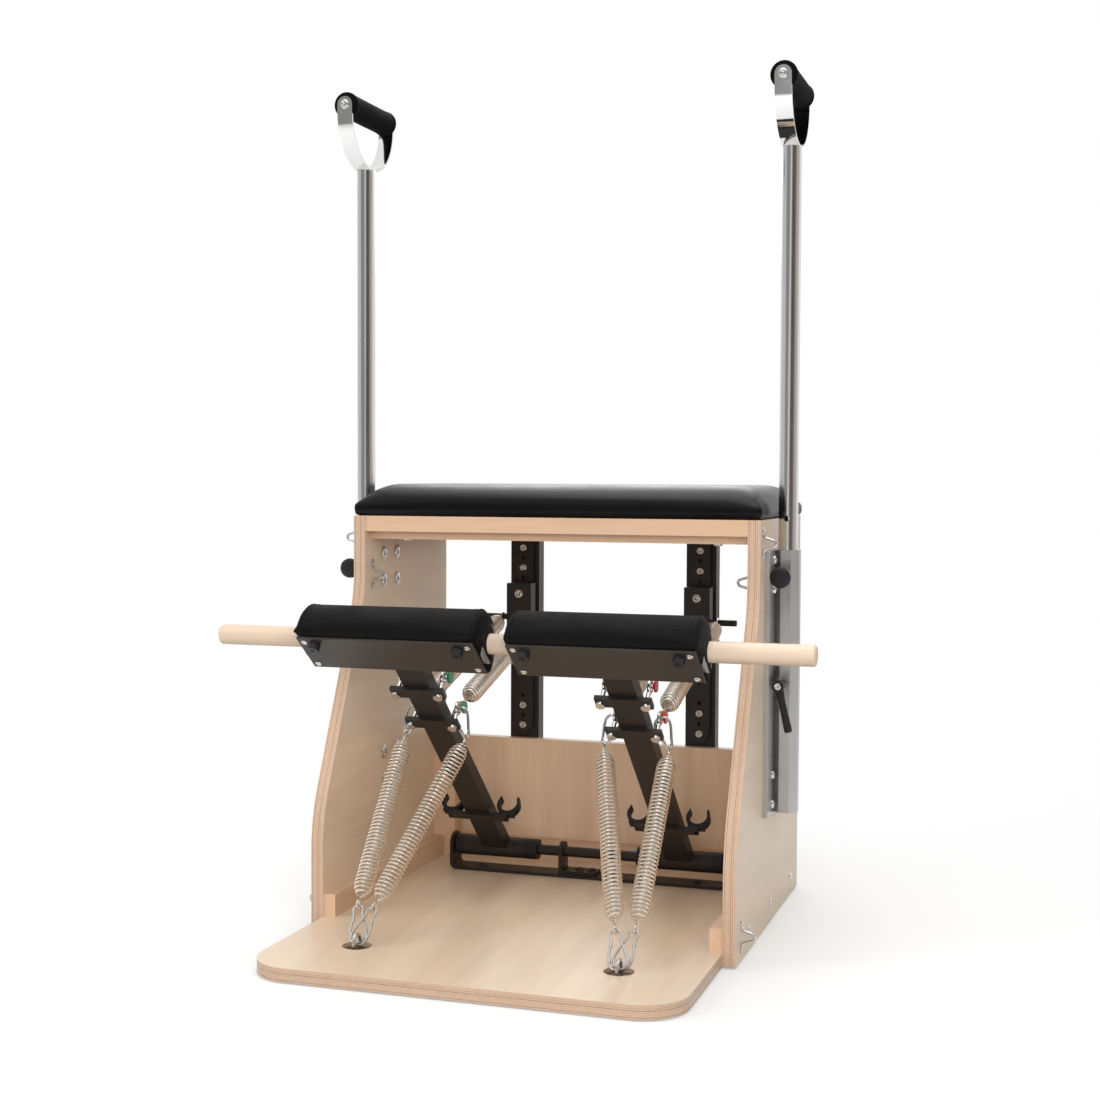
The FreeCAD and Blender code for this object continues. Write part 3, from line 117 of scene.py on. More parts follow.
def noiseOn(mat, scale, detail=4.0, rough=0.55, distortion=0.0):
    space = objectSpace(mat, scale if isinstance(scale, tuple) else grey(scale))
    return add(mat, "TexNoise", {"Vector": space, "Scale": 1.0, "Detail": detail, "Roughness": rough,
                                 "Distortion": distortion}).outputs["Fac"]


def waveOn(mat, space, direction, scale, distortion, detail):
    return add(mat, "TexWave", {"Vector": space, "Scale": scale, "Distortion": distortion, "Detail": detail},
               wave_type="BANDS", bands_direction=direction).outputs["Color"]


def rampOn(mat, source, *stops):
    ramp = add(mat, "ValToRGB", {"Fac": source})
    bar = ramp.color_ramp
    while len(bar.elements) < len(stops):
        bar.elements.new(0.5)
    for element, (spot, tone) in zip(bar.elements, stops):
        element.position = spot
        element.color = (*tone, 1)
    return ramp.outputs["Color"]


def mixOn(mat, first, second, factor, how="MIX"):
    return add(mat, "MixRGB", {"Color1": first, "Color2": second, "Fac": factor}, blend_type=how).outputs["Color"]


def bumpOn(mat, height, strength, depth):
    return add(mat, "Bump", {"Height": height, "Strength": strength, "Distance": depth}).outputs["Normal"]


def rangeOn(mat, source, ends, **settings):
    names = ("From Min", "From Max", "To Min", "To Max")
    return add(mat, "MapRange", {"Value": source, **dict(zip(names, ends))}, **settings).outputs["Result"]


def spread(mat, source, low, high):
    return rangeOn(mat, source, (0.3, 0.7, low, high))


# timber: veneer grain on the faces, glued layers on the cut edges
plyFinish = {
    "pale": (0.79, 0.63, 0.465),
    "mid": (0.725, 0.555, 0.395),
    "dark": (0.6, 0.44, 0.31),
    "edgePale": (0.64, 0.45, 0.315),
    "edgeDark": (0.37, 0.215, 0.14),
    "uneven": 0.85,
    "layers": 13,
    "thickness": 0.018,
    "roughness": (0.34, 0.46),
}
# the rear panel: the same plywood with a stronger figure, and its tones pushed warmer and more orange as a painted tint
# of light bounced off the wood round it
rearBounceTintFinish = dict(plyFinish, pale=(0.8, 0.595, 0.415), mid=(0.7, 0.49, 0.325), figure=1.0)
beechFinish = {
    "pale": (0.71, 0.485, 0.325),
    "mid": (0.64, 0.41, 0.26),
    "dark": (0.52, 0.31, 0.185),
    "roughness": (0.36, 0.48),
}
dowelFinish = {
    "pale": (0.74, 0.59, 0.455),
    "mid": (0.68, 0.52, 0.385),
    "dark": (0.58, 0.42, 0.29),
    "roughness": (0.38, 0.5),
}


def grainColour(mat, finish, along):
    # long streaks, broad figure and fine pores, all drawn out along the grain
    across = stretched(along, 2.2, 26)
    streaks = noiseOn(mat, across, 7, 0.62, 0.35)
    figure = waveOn(mat, objectSpace(mat, across), "DIAGONAL", 0.35, 7.0, 3.0)
    pores = noiseOn(mat, stretched(along, 14, 520), 3, 0.6)
    blotch = noiseOn(mat, dim(across, 0.22), 3, 0.5)
    base = rampOn(mat, streaks, (0.3, finish["mid"]), (0.62, finish["pale"]))
    bands = rampOn(mat, figure, (0.0, grey(0.93)), (0.6, grey(1.0)))
    banded = mixOn(mat, base, bands, finish.get("figure", 0.55), "MULTIPLY")
    patches = rampOn(mat, blotch, (0.35, (0.95, 0.93, 0.91)), (0.65, grey(1.0)))
    patched = mixOn(mat, banded, patches, 0.8, "MULTIPLY")
    pits = rampOn(mat, pores, (0.3, finish["dark"]), (0.44, grey(1.0)))
    return mixOn(mat, patched, pits, 0.14, "MULTIPLY"), streaks, pores


def timber(name, finish, along):
    mat = startMaterial(name)
    colour, streaks, pores = grainColour(mat, finish, along)
    rough = spread(mat, streaks, *finish["roughness"])
    return surface(mat, colour, rough, bumpOn(mat, pores, 0.12, 0.0004), coat=0.12, coatRough=0.28)


def plywood(name, finish, along, through, start):
    mat = startMaterial(name)
    colour, streaks, pores = grainColour(mat, finish, along)
    depth = calc(mat, "SUBTRACT", axes(mat)[through], start)
    count = calc(mat, "MULTIPLY", depth, finish["layers"] / 2 / finish["thickness"])
    shifted = calc(mat, "MULTIPLY_ADD", noiseOn(mat, 9, 3), 0.35, count)
    layer = calc(mat, "PINGPONG", shifted, 0.5)
    stripes = rampOn(mat, layer, (0.13, finish["edgeDark"]), (0.26, finish["edgePale"]))
    # each glue line fades by its own chance
    number = calc(mat, "ROUND", shifted)
    chance = add(mat, "TexWhiteNoise", noise_dimensions="1D", inputs={"W": number}).outputs["Value"]
    faded = calc(mat, "MULTIPLY", chance, finish["uneven"])
    uneven = mixOn(mat, stripes, (*finish["edgePale"], 1), faded)
    fibres = rampOn(mat, noiseOn(mat, 260, 3), (0.3, grey(0.8)), (0.7, grey(1.0)))
    edge = mixOn(mat, uneven, fibres, 0.7, "MULTIPLY")
    facing = add(mat, "SeparateXYZ", {"Vector": add(mat, "NewGeometry").outputs["Normal"]}).outputs
    onFace = calc(mat, "GREATER_THAN", calc(mat, "ABSOLUTE", facing[through]), 0.6)
    skin = mixOn(mat, edge, colour, onFace)
    rough = spread(mat, streaks, *finish["roughness"])
    return surface(mat, skin, rough, bumpOn(mat, pores, 0.08, 0.0003), coat=0.14, coatRough=0.22)


# where the battens' grain turns: cleats lie outboard and forward, posts stand in the rear corners
battenZones = {"cleatX": 0.2715, "cleatY": 0.4249, "postX": 0.2529, "postZ": 0.3}


def battenTimber(name):
    # posts stand, cleats run back and rails run across, so the grain changes with the place
    mat = startMaterial(name)
    across, back, upright = [grainColour(mat, beechFinish, along)[0] for along in "xyz"]
    place = axes(mat)
    wide = calc(mat, "ABSOLUTE", place["X"])
    cleat = calc(mat, "MULTIPLY", calc(mat, "GREATER_THAN", wide, battenZones["cleatX"]),
                 calc(mat, "LESS_THAN", place["Y"], battenZones["cleatY"]))
    post = calc(mat, "MULTIPLY", calc(mat, "GREATER_THAN", wide, battenZones["postX"]),
                calc(mat, "LESS_THAN", place["Z"], battenZones["postZ"]))
    colour = mixOn(mat, mixOn(mat, across, upright, post), back, cleat)
    return surface(mat, colour, spread(mat, noiseOn(mat, 60), *beechFinish["roughness"]))


# metals, coatings, covers and mouldings
def brushed(name, tone, roughness, along, lines):
    mat = startMaterial(name)
    strokes = noiseOn(mat, stretched(along, 5, lines), 4, 0.6)
    streaked = rampOn(mat, strokes, (0.25, dim(tone, 0.86)), (0.75, tone))
    smudge = rampOn(mat, noiseOn(mat, 14), (0.3, grey(0.9)), (0.65, grey(1.0)))
    rough = spread(mat, strokes, roughness * 0.8, roughness * 1.25)
    return surface(mat, mixOn(mat, streaked, smudge, 0.8, "MULTIPLY"), rough, bumpOn(mat, strokes, 0.06, 0.0002),
                   metal=1.0)


def tubeSteel(name, tone, split):
    # drawn tube up to the weld, and a polished strap above it
    mat = startMaterial(name)
    strokes = noiseOn(mat, (380, 380, 3), 4, 0.6)
    clouds = noiseOn(mat, 16)
    above = calc(mat, "GREATER_THAN", axes(mat)["Z"], split)
    drawn = rampOn(mat, strokes, (0.25, dim(tone, 0.86)), (0.75, tone))
    bright = rampOn(mat, clouds, (0.3, tone), (0.7, dim(tone, 1.1)))
    tubeRough = rampOn(mat, strokes, (0.3, grey(0.13)), (0.7, grey(0.2)))
    strapRough = rampOn(mat, clouds, (0.3, grey(0.055)), (0.7, grey(0.1)))
    return surface(mat, mixOn(mat, drawn, bright, above), mixOn(mat, tubeRough, strapRough, above), metal=1.0)


def anchorSteel(name, level):
    # bright where the bow stands clear of the board, and dark brown down in the pocket: painted shade of the hole in
    # the board
    mat = startMaterial(name)
    above = calc(mat, "GREATER_THAN", axes(mat)["Z"], level)
    grime = noiseOn(mat, 160)
    bright = rampOn(mat, grime, (0.3, (0.62, 0.61, 0.59)), (0.7, (0.76, 0.75, 0.73)))
    pocketShade = rampOn(mat, grime, (0.3, (0.075, 0.05, 0.034)), (0.7, (0.15, 0.105, 0.075)))
    return surface(mat, mixOn(mat, pocketShade, bright, above), spread(mat, grime, 0.2, 0.4), metal=above)


def coated(name, tone, roughness, grain=900, strength=0.1, gloss=0.35):
    mat = startMaterial(name)
    handling = noiseOn(mat, 11, 5, 0.6)
    colour = rampOn(mat, handling, (0.35, tone), (0.75, dim(tone, 1.25)))
    rough = spread(mat, handling, roughness * 0.9, roughness * 1.15)
    return surface(mat, colour, rough, bumpOn(mat, noiseOn(mat, grain, 2), strength, 0.0003), gloss=gloss)


def covered(name, tone, grain, strength, roughness, gloss):
    # a cell pattern for the grain, broken up so that no row shows
    mat = startMaterial(name)
    cells = add(mat, "TexVoronoi", {"Vector": objectSpace(mat, grey(grain)), "Scale": 1.0, "Randomness": 0.9},
                feature="F1").outputs["Distance"]
    folds = noiseOn(mat, 22)
    height = calc(mat, "MULTIPLY_ADD", noiseOn(mat, grain * 0.4, 4, 0.6), 0.8, cells)
    colour = rampOn(mat, folds, (0.3, tone), (0.75, dim(tone, 1.5)))
    return surface(mat, colour, spread(mat, folds, *roughness), bumpOn(mat, height, strength, 0.0005), gloss=gloss)


def tagPlastic(name, outer, inner, split):
    mat = startMaterial(name)
    isOuter = calc(mat, "GREATER_THAN", calc(mat, "ABSOLUTE", axes(mat)["X"]), split)
    speck = noiseOn(mat, 300, 3)
    tones = [rampOn(mat, speck, (0.3, dim(tone, 0.85)), (0.7, tone)) for tone in (inner, outer)]
    return surface(mat, mixOn(mat, *tones, isOuter), spread(mat, speck, 0.25, 0.38))


def meshCloth(name, tone, pitch, strength, depth, roughness):
    # a spacer mesh: two sets of ribs cross and leave rows of small hollows, which are painted darker as shade
    mat = startMaterial(name)
    ribs = [waveOn(mat, objectSpace(mat, grey(1), (0.65, turn, 0)), "X", 0.314 / pitch, 0.4, 1.0)
            for turn in (0.9, -0.9)]
    weave = mixOn(mat, *ribs, 1.0, "MULTIPLY")
    folds = noiseOn(mat, 18)
    # the weave's hollows get a darker colour: painted shade
    hollowShadedWeave = rampOn(mat, weave, (0.05, dim(tone, 0.35)), (0.6, tone))
    worn = rampOn(mat, folds, (0.3, grey(0.75)), (0.7, grey(1.0)))
    height = calc(mat, "MULTIPLY_ADD", noiseOn(mat, 900, 3), 0.35, weave)
    colour = mixOn(mat, hollowShadedWeave, worn, 1.0, "MULTIPLY")
    return surface(mat, colour, spread(mat, folds, *roughness), bumpOn(mat, height, strength, depth), gloss=0.14)


def plated(name, tone, roughness):
    # bright plating: broad, faint clouding and no brush marks
    mat = startMaterial(name)
    clouds = noiseOn(mat, 35, 3)
    colour = rampOn(mat, clouds, (0.3, dim(tone, 0.88)), (0.7, tone))
    return surface(mat, colour, spread(mat, clouds, roughness * 0.85, roughness * 1.2), metal=1.0)


steelBlack = coated("steelBlack", (0.0165, 0.013, 0.011), 0.42)
plateBlack = coated("plateBlack", (0.036, 0.03, 0.025), 0.4, 1100)
mouldedBlack = coated("mouldedBlack", (0.011, 0.011, 0.012), 0.46, 700, 0.12, 0.3)
gripRubber = coated("gripRubber", (0.0038, 0.0038, 0.0043), 0.72, 1300, 0.25, 0.05)
padRubber = coated("padRubber", grey(0.03), 0.8, 500, 0.3)
blackBolt = coated("blackBolt", grey(0.02), 0.38, 800)
threadBlack = coated("threadBlack", (0.016, 0.016, 0.018), 0.6, 1500, 0.3, 0.2)
socketBlack = coated("socketBlack", (0.012, 0.012, 0.014), 0.24, 600, 0.08)
seatLeather = covered("seatLeather", (0.002, 0.002, 0.0025), 780, 0.12, (0.3, 0.38), 0.16)
hemCover = covered("hemCover", (0.004, 0.004, 0.0045), 900, 0.3, (0.55, 0.7), 0.15)
pedalCover = meshCloth("pedalCover", (0.0066, 0.0066, 0.007), 0.0036, 0.4, 0.0007, (0.62, 0.78))
handleSteel = tubeSteel("handleSteel", (0.74, 0.735, 0.725), 1.1186)
guideAluminium = brushed("guideAluminium", (0.56, 0.555, 0.54), 0.36, "z", 520)
ringSteel = brushed("ringSteel", (0.36, 0.36, 0.37), 0.38, "y", 300)
springNickel = plated("springNickel", (0.93, 0.86, 0.77), 0.2)
hookChrome = plated("hookChrome", (0.7, 0.685, 0.665), 0.1)
zincBolt = plated("zincBolt", (0.74, 0.735, 0.72), 0.22)
tagColours = tagPlastic("tagColours", (0.52, 0.022, 0.022), (0.012, 0.24, 0.075), 0.1495)
nodeFinish = {
    "base_board": plywood("boardPly", plyFinish, "y", "Z", 0.002),
    "rear_panel": plywood("rearPlyBounceTint", rearBounceTintFinish, "z", "Y", 0.46),
    "seat_deck": plywood("deckPly", plyFinish, "x", "Z", 0.577),
    "side_panel_left": plywood("panelPlyLeft", plyFinish, "y", "X", -0.308),
    "side_panel_right": plywood("panelPlyRight", plyFinish, "y", "X", 0.29),
    "wood_battens": battenTimber("battenTimber"),
    "seat_front_rail": timber("beechAlongX", beechFinish, "x"),
    "dowel": timber("dowelBeech", dowelFinish, "x"),
    "floor_pads": padRubber,
    "pivot_shaft": steelBlack,
    "pivot_bracket": steelBlack,
    "shaft_support": steelBlack,
    "spring_carriages": steelBlack,
    "floor_anchors": anchorSteel("anchorSteel", 0.0202),
}
sidedFinish = {
    "spring_upright": steelBlack,
    "pole_guide": guideAluminium,
    "handle_pole": handleSteel,
    "pedal_arm": steelBlack,
    "pivot_bushes": mouldedBlack,
    "eye_bolts": zincBolt,
    "colour_tags": tagColours,
    "pedal_plate": plateBlack,
    "pedal_core": timber("coreTimber", beechFinish, "x"),
    "pedal_end_plates": ringSteel,
}
nodeFinish.update({name + "_" + word: finish for name, finish in sidedFinish.items() for side, word in sides})
print("stage: materials made")
for name, finish in nodeFinish.items():
    mesh = nodes[name].data
    mesh.materials.clear()
    mesh.materials.append(finish)
print("stage: carried nodes finished")


# meshes
def linked(name, data):
    made = bpy.data.objects.new(name, data)
    scene.collection.objects.link(made)
    return made


def newObject(name, bm):
    mesh = bpy.data.meshes.new(name)
    bm.to_mesh(mesh)
    bm.free()
    return linked(name, mesh)


def dress(piece, mat, body, covers, smooth=True):
    mesh = piece.data
    for polygon in mesh.polygons:
        polygon.use_smooth = smooth
    mesh.materials.clear()
    mesh.materials.append(mat)
    if body:
        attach(piece, body)
    if covers:
        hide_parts(*covers)
    return piece


def finishPiece(name, bm, mat, body, covers=(), smooth=True):
    return dress(newObject(name, bm), mat, body, covers, smooth)


def sidedPiece(name, word, bm, mat, body, node=None, smooth=True):
    covers = (node + "_" + word,) if node else ()
    finishPiece(name + word.title(), bm, mat, word + "_" + body, covers, smooth)


def turnedOnto(axis):
    return Vector((0, 0, 1)).rotation_difference(Vector(axis)).to_matrix().to_4x4()


def putAt(bm, place, turn):
    ops.transform(bm, matrix=Matrix.Translation(place) @ turn, verts=bm.verts)


def pour(source, target):
    mesh = bpy.data.meshes.new("pour")
    source.to_mesh(mesh)
    source.free()
    target.from_mesh(mesh)
    bpy.data.meshes.remove(mesh)


def turn(bm, angle, steps, axis=(0, 0, 1), rise=0.0, merge=False):
    ops.spin(bm, geom=bm.verts[:] + bm.edges[:] + bm.faces[:], cent=(0, 0, 0), axis=axis, dvec=(0, 0, rise),
             angle=angle, steps=steps, use_merge=merge, use_duplicate=False)


def lathe(bm, profile, place, axis, steps=28):
    # spins (radius, height) points about the axis through place
    fresh = bmesh.new()
    verts = [fresh.verts.new((radius, 0, height)) for radius, height in profile]
    for pair in zip(verts, verts[1:]):
        fresh.edges.new(pair)
    turn(fresh, 2 * pi, steps, merge=True)
    ops.remove_doubles(fresh, verts=fresh.verts, dist=1e-6)
    ops.recalc_face_normals(fresh, faces=fresh.faces)
    putAt(fresh, place, turnedOnto(axis))
    pour(fresh, bm)


def scaled(profile, wide, tall=1.0):
    return [(radius * wide, height * tall) for radius, height in profile]


def wire(bm, points, radius, closed=False, rings=4, steps=8):
    wires(bm, [points], radius, closed, rings, steps)


def wires(bm, lines, radius, closed=False, rings=4, steps=8):
    # round bars along smooth lines
    curve = bpy.data.curves.new("wire", "CURVE")
    curve.dimensions = "3D"
    curve.bevel_depth = radius
    curve.bevel_resolution = rings
    curve.use_fill_caps = not closed
    curve.resolution_u = steps
    for points in lines:
        spline = curve.splines.new("NURBS")
        spline.points.add(len(points) - 1)
        for spot, point in zip(spline.points, points):
            spot.co = (*point, 1)
        spline.use_cyclic_u = closed
        spline.order_u = 3
        spline.use_endpoint_u = not closed
    holder = linked("wire", curve)
    mesh = evaluated(holder)
    bm.from_mesh(mesh)
    bpy.data.objects.remove(holder)
    bpy.data.curves.remove(curve)
    bpy.data.meshes.remove(mesh)


def evaluated(holder):
    bpy.context.view_layer.update()
    return bpy.data.meshes.new_from_object(holder.evaluated_get(bpy.context.evaluated_depsgraph_get()))


def clamped(share):
    return min(max(share, 0), 1)


def eased(share):
    return share * share * (3 - 2 * share)


def flattened(vector, along):
    # the part of a vector that is square to along
    return (vector - along * vector.dot(along)).normalized()


# key places, in metres, as the solids have them
pivotAt = Vector((0, 0.35, 0.0575))
armTilt = radians(42.3)
pedalTilt = radians(37.5)
armReach = 0.546
armOffset = 0.1495
poleOffset = 0.33
panelOuter, panelInner = 0.308, 0.29
plateFace = -0.031
xAxis = Vector((1, 0, 0))
alongArm = Vector((0, -cos(armTilt), sin(armTilt)))
offArm = Vector((0, sin(armTilt), cos(armTilt)))
dowelAt = pivotAt + alongArm * armReach
alongPedal = Vector((0, -cos(pedalTilt), sin(pedalTilt)))
offPedal = Vector((0, sin(pedalTilt), cos(pedalTilt)))


def onArm(x, reach, lift):
    return xAxis * x + pivotAt + alongArm * reach + offArm * lift


def onPedal(x, up, lift):
    return xAxis * x + dowelAt + alongPedal * up + offPedal * lift


# camera, floor and light
view = {"place": (0.7445, -2.1452, 0.6491), "yaw": 17.97, "pitch": -2.53, "roll": 0.23, "focal": 1671 / 1100,
        "sensor": 36}


def makeCamera():
    facing = Matrix.Translation(view["place"])
    for angle, axis in ((view["yaw"], "Z"), (90 + view["pitch"], "X"), (view["roll"], "Z")):
        facing = facing @ Matrix.Rotation(radians(angle), 4, axis)
    lens = bpy.data.cameras.new("photoView")
    lens.sensor_width = view["sensor"]
    lens.sensor_fit = "HORIZONTAL"
    lens.lens = view["sensor"] * view["focal"]
    lens.clip_start = 0.05
    scene.camera = linked("photoView", lens)
    scene.camera.matrix_world = facing


stageFloor = {"size": 9, "fade": (0.7, 2.2, 0.3, 1.0), "tone": (*grey(0.9), 1), "bounce": (*grey(0.36), 1)}


def makeFloor():
    bm = bmesh.new()
    ops.create_grid(bm, x_segments=2, y_segments=2, size=stageFloor["size"])
    floor = newObject("studioFloor", bm)
    mat = startMaterial("studioFloor")
    path = add(mat, "LightPath").outputs
    tone = mixOn(mat, stageFloor["tone"], stageFloor["bounce"], path["Is Diffuse Ray"])
    matt = add(mat, "BsdfDiffuse", {"Color": tone}).outputs["BSDF"]
    glow = add(mat, "Emission", {"Color": white, "Strength": 1.0}).outputs["Emission"]
    coords = add(mat, "TexCoord").outputs["Object"]
    reach = add(mat, "VectorMath", {0: coords}, operation="LENGTH").outputs["Value"]
    fade = rangeOn(mat, reach, stageFloor["fade"], interpolation_type="SMOOTHSTEP")
    share = calc(mat, "MULTIPLY", path["Is Camera Ray"], fade)
    floor.data.materials.append(output(mat, "MixShader", {"Fac": share, 1: matt, 2: glow}))


worldLight = {"ambient": 0.56, "backdrop": 1.0}


def makeWorld():
    world = bpy.data.worlds.new("studio")
    scene.world = world
    world.use_nodes = True
    world.node_tree.nodes.clear()
    path = add(world, "LightPath").outputs
    seen = calc(world, "MAXIMUM", path["Is Camera Ray"], path["Is Glossy Ray"])
    through = calc(world, "MAXIMUM", seen, path["Is Transmission Ray"])
    ambient, backdrop = [add(world, "Background", {"Color": white, "Strength": worldLight[key]}).outputs[0]
                         for key in ("ambient", "backdrop")]
    mix = add(world, "MixShader", {"Fac": through, 1: ambient, 2: backdrop}).outputs[0]
    add(world, "OutputWorld", {"Surface": mix})


# the room behind the camera, which only gloss mirrors, by bearing from straight ahead
roomScreen = {"radius": 4.2, "foot": 0.02, "height": 3.6, "reach": 115, "steps": 60,
              "tones": ((-115, grey(0.75)), (-58, grey(0.62)), (-46, grey(0.32)), (-8, grey(0.26)), (1, grey(0.75)),
                        (13, grey(0.75)), (22, (0.2, 0.18, 0.14)), (34, (0.1, 0.085, 0.065)),
                        (60, (0.17, 0.145, 0.115)), (80, (0.52, 0.48, 0.46)), (115, grey(0.6)))}
# a soft box above the back of the seat, which draws the light along the cushion's slope
skyScreen = {"place": Vector((-0.4, 1.9, 2.9)), "radius": 0.9, "strength": 2.0}
lampAim = Vector((0, 0.1, 0.45))
# name, place, size, power and whether it shows in gloss
lamps = (
    ("keyLamp", (1.9, -2.4, 1.7), 1.9, 30, False),
    ("fillLamp", (-2.6, -1.5, 1.9), 2.2, 38, False),
    ("frontLamp", (0.8, -3.3, 0.9), 1.8, 44, False),
    ("topLamp", (0.1, 0.3, 3.3), 2.2, 36, True),
    ("rimLamp", (-0.6, 2.9, 2.1), 1.8, 22, True),
)


def glossScreen(mat, bm, colour, strength):
    screen = newObject(mat.name, bm)
    screen.data.materials.append(output(mat, "Emission", {"Color": colour, "Strength": strength}))
    for ray in ("camera", "diffuse", "transmission", "volume_scatter", "shadow"):
        setattr(screen, "visible_" + ray, False)


def makeRoom():
    bm = bmesh.new()
    reach = radians(roomScreen["reach"])
    bm.edges.new([bm.verts.new((0, -roomScreen["radius"], roomScreen[key])) for key in ("foot", "height")])
    ops.rotate(bm, verts=bm.verts, cent=(0, 0, 0), matrix=Matrix.Rotation(-reach, 3, "Z"))
    turn(bm, 2 * reach, roomScreen["steps"])
    mat = startMaterial("roomScreen")
    place = axes(mat)
    bearing = calc(mat, "ARCTAN2", place["X"], calc(mat, "MULTIPLY", place["Y"], -1))
    share = rangeOn(mat, bearing, (-reach, reach, 0, 1))
    full = roomScreen["reach"]
    stops = [((angle + full) / (2 * full), tone) for angle, tone in roomScreen["tones"]]
    glossScreen(mat, bm, rampOn(mat, share, *stops), 1.0)


def makeSky():
    bm = bmesh.new()
    ops.create_circle(bm, cap_ends=True, segments=48, radius=skyScreen["radius"])
    putAt(bm, skyScreen["place"], turnedOnto(lampAim - skyScreen["place"]))
    glossScreen(startMaterial("skyScreen"), bm, white, skyScreen["strength"])


def makeLamps():
    for name, place, size, power, shows in lamps:
        lamp = bpy.data.lights.new(name, "AREA")
        lamp.shape = "DISK"
        lamp.size = size
        lamp.energy = power
        holder = linked(name, lamp)
        holder.location = place
        holder.visible_glossy = shows
        holder.rotation_euler = (lampAim - Vector(place)).to_track_quat("-Z", "Y").to_euler()


for make in (makeCamera, makeFloor, makeRoom, makeSky, makeWorld, makeLamps):
    make()
scene.view_settings.view_transform = "Standard"
print("stage: camera, floor and light set")

# wound springs and their snap hooks, between the pedals and the frame
frontSpring = {"radius": 0.0124, "wire": 0.0015, "turns": 44, "taper": 0.018, "least": 0.0052, "loop": 0.0055,
               "runs": (0.014, 0.014)}
rearSpring = {"radius": 0.0128, "wire": 0.00165, "turns": 66, "taper": 0.017, "least": 0.006, "loop": 0.006,
              "runs": (0.02, 0.036), "pinY": 0.458, "pinZ": 0.417, "inset": (0.0005, 0.0085)}
coilMesh = {"steps": 18, "sides": 8}
pedalHook = {"wire": 0.0019, "lean": radians(34), "splay": radians(20), "aside": 0.005, "drop": 0.0108,
             "foot": 0.0316, "gate": ((0.0054, 0.0215), (0.0104, 0.001)),
             "half": ((0.0064, -0.0115), (0.011, -0.006), (0.0106, 0.003), (0.008, 0.013), (0.0056, 0.0215),
                      (0.0048, 0.0265), (0.0034, 0.0298)), "ends": (-0.0122, 0.0306)}
floorHook = {"wire": 0.0017, "foot": 0.0525, "gate": ((0.0072, 0.032), (0.0104, 0.012)),
             "half": ((0.0085, -0.001), (0.0122, 0.008), (0.0112, 0.018), (0.008, 0.03), (0.0056, 0.039),
                      (0.0072, 0.0445), (0.0056, 0.0505)), "ends": (-0.001, 0.0518)}
gateKnuckle = {"half": 0.0028, "hinge": 1.35, "nose": 1.28}
springEye = {"wing": 0.0315, "reach": 0.367, "lift": 0.014}
floorAnchor = {"x": 0.182, "y": -0.12, "z": 0.0242, "stagger": 0.003, "hookRun": 0.052, "hookAside": 0.013}


def coilTube(spring, length):
    # a screw of one round section, drawn in at both ends
    bm = bmesh.new()
    steps, ring = coilMesh["steps"], coilMesh["sides"]
    ops.create_circle(bm, cap_ends=False, segments=ring, radius=spring["wire"])
    ops.rotate(bm, verts=bm.verts, cent=(0, 0, 0), matrix=Matrix.Rotation(pi / 2, 3, "X"))
    ops.translate(bm, verts=bm.verts, vec=(spring["radius"], 0, 0))
    turn(bm, 2 * pi * spring["turns"], steps * spring["turns"], rise=length / spring["turns"] / steps)
    ops.holes_fill(bm, edges=[edge for edge in bm.edges if edge.is_boundary], sides=ring)
    ops.recalc_face_normals(bm, faces=bm.faces)
    for vert in bm.verts:
        share = clamped(min(vert.co.z, length - vert.co.z) / spring["taper"])
        share = share * (2 - share)
        drawIn = (spring["radius"] - spring["least"]) * (1 - share)
        flat = vert.co.xy.length
        vert.co.xy *= (flat - drawIn) / flat
    return bm


# along and aside, in loop sizes from the tip
loopPath = ((-1.4, 0.3), (-0.4, 1.15), (0.9, 0.9), (1.05, -0.2), (0.2, -1.2), (-1.2, -0.6), (-1.7, -0.05))


def eyeLoop(bm, tip, along, spring, run, aside):
    # the wire leaves the last turn, runs up the axis and closes in a loop round the hook
    size = spring["loop"]
    across = along.cross(aside).normalized()
    start = tip - along * run
    points = [
        start - along * 0.003 + across * spring["least"],
        start + along * 0.001 + across * spring["least"] * 0.4,
        start + along * run * 0.4,
    ]
    points += [tip + along * size * far + aside * size * wide for far, wide in loopPath]
    wire(bm, points, spring["wire"])


def woundSpring(name, foot, top, spring, node):
    along = (top - foot).normalized()
    footRun, topRun = spring["runs"]
    bm = coilTube(spring, (top - foot).length - footRun - topRun)
    putAt(bm, foot + along * footRun, turnedOnto(along))
    aside = along.cross(flattened(xAxis, along))
    eyeLoop(bm, top, along, spring, topRun, aside)
    eyeLoop(bm, foot, -along, spring, footRun, aside)
    piece = finishPiece(name, bm, springNickel, None, (node,))
    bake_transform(piece)


def snapHook(bm, heart, along, across, hook):
    # a pear of wire, with the two knuckles of its gate on the far leg
    def put(wide, low):
        return heart + across * wide + along * low

    top, foot = hook["ends"]
    ring = [put(0, top)] + [put(wide, low) for wide, low in hook["half"]] + [put(0, foot)]
    ring += [put(-wide, low) for wide, low in reversed(hook["half"])]
    wire(bm, ring, hook["wire"], closed=True, steps=10)
    hinge, nose = [put(-wide, low) for wide, low in hook["gate"]]
    gate = (nose - hinge).normalized() * gateKnuckle["half"]
    for knuckle, grow in ((hinge, gateKnuckle["hinge"]), (nose, gateKnuckle["nose"])):
        wire(bm, (knuckle - gate, knuckle, knuckle + gate), hook["wire"] * grow)


def springLine(side, step):
    # the eye on the arm, the place of its floor hook, and the way up from there
    eye = onArm(side * armOffset + step * springEye["wing"], springEye["reach"], springEye["lift"])
    stagger = floorAnchor["stagger"] if step == side else -floorAnchor["stagger"]
    anchor = Vector((side * floorAnchor["x"], floorAnchor["y"] + stagger, floorAnchor["z"]))
    slope = Vector((0, anchor.y - eye.y, anchor.z - eye.z)).normalized()
    rise = slope * -floorAnchor["hookRun"] + xAxis * step * floorAnchor["hookAside"]
    return eye, anchor, rise.normalized()


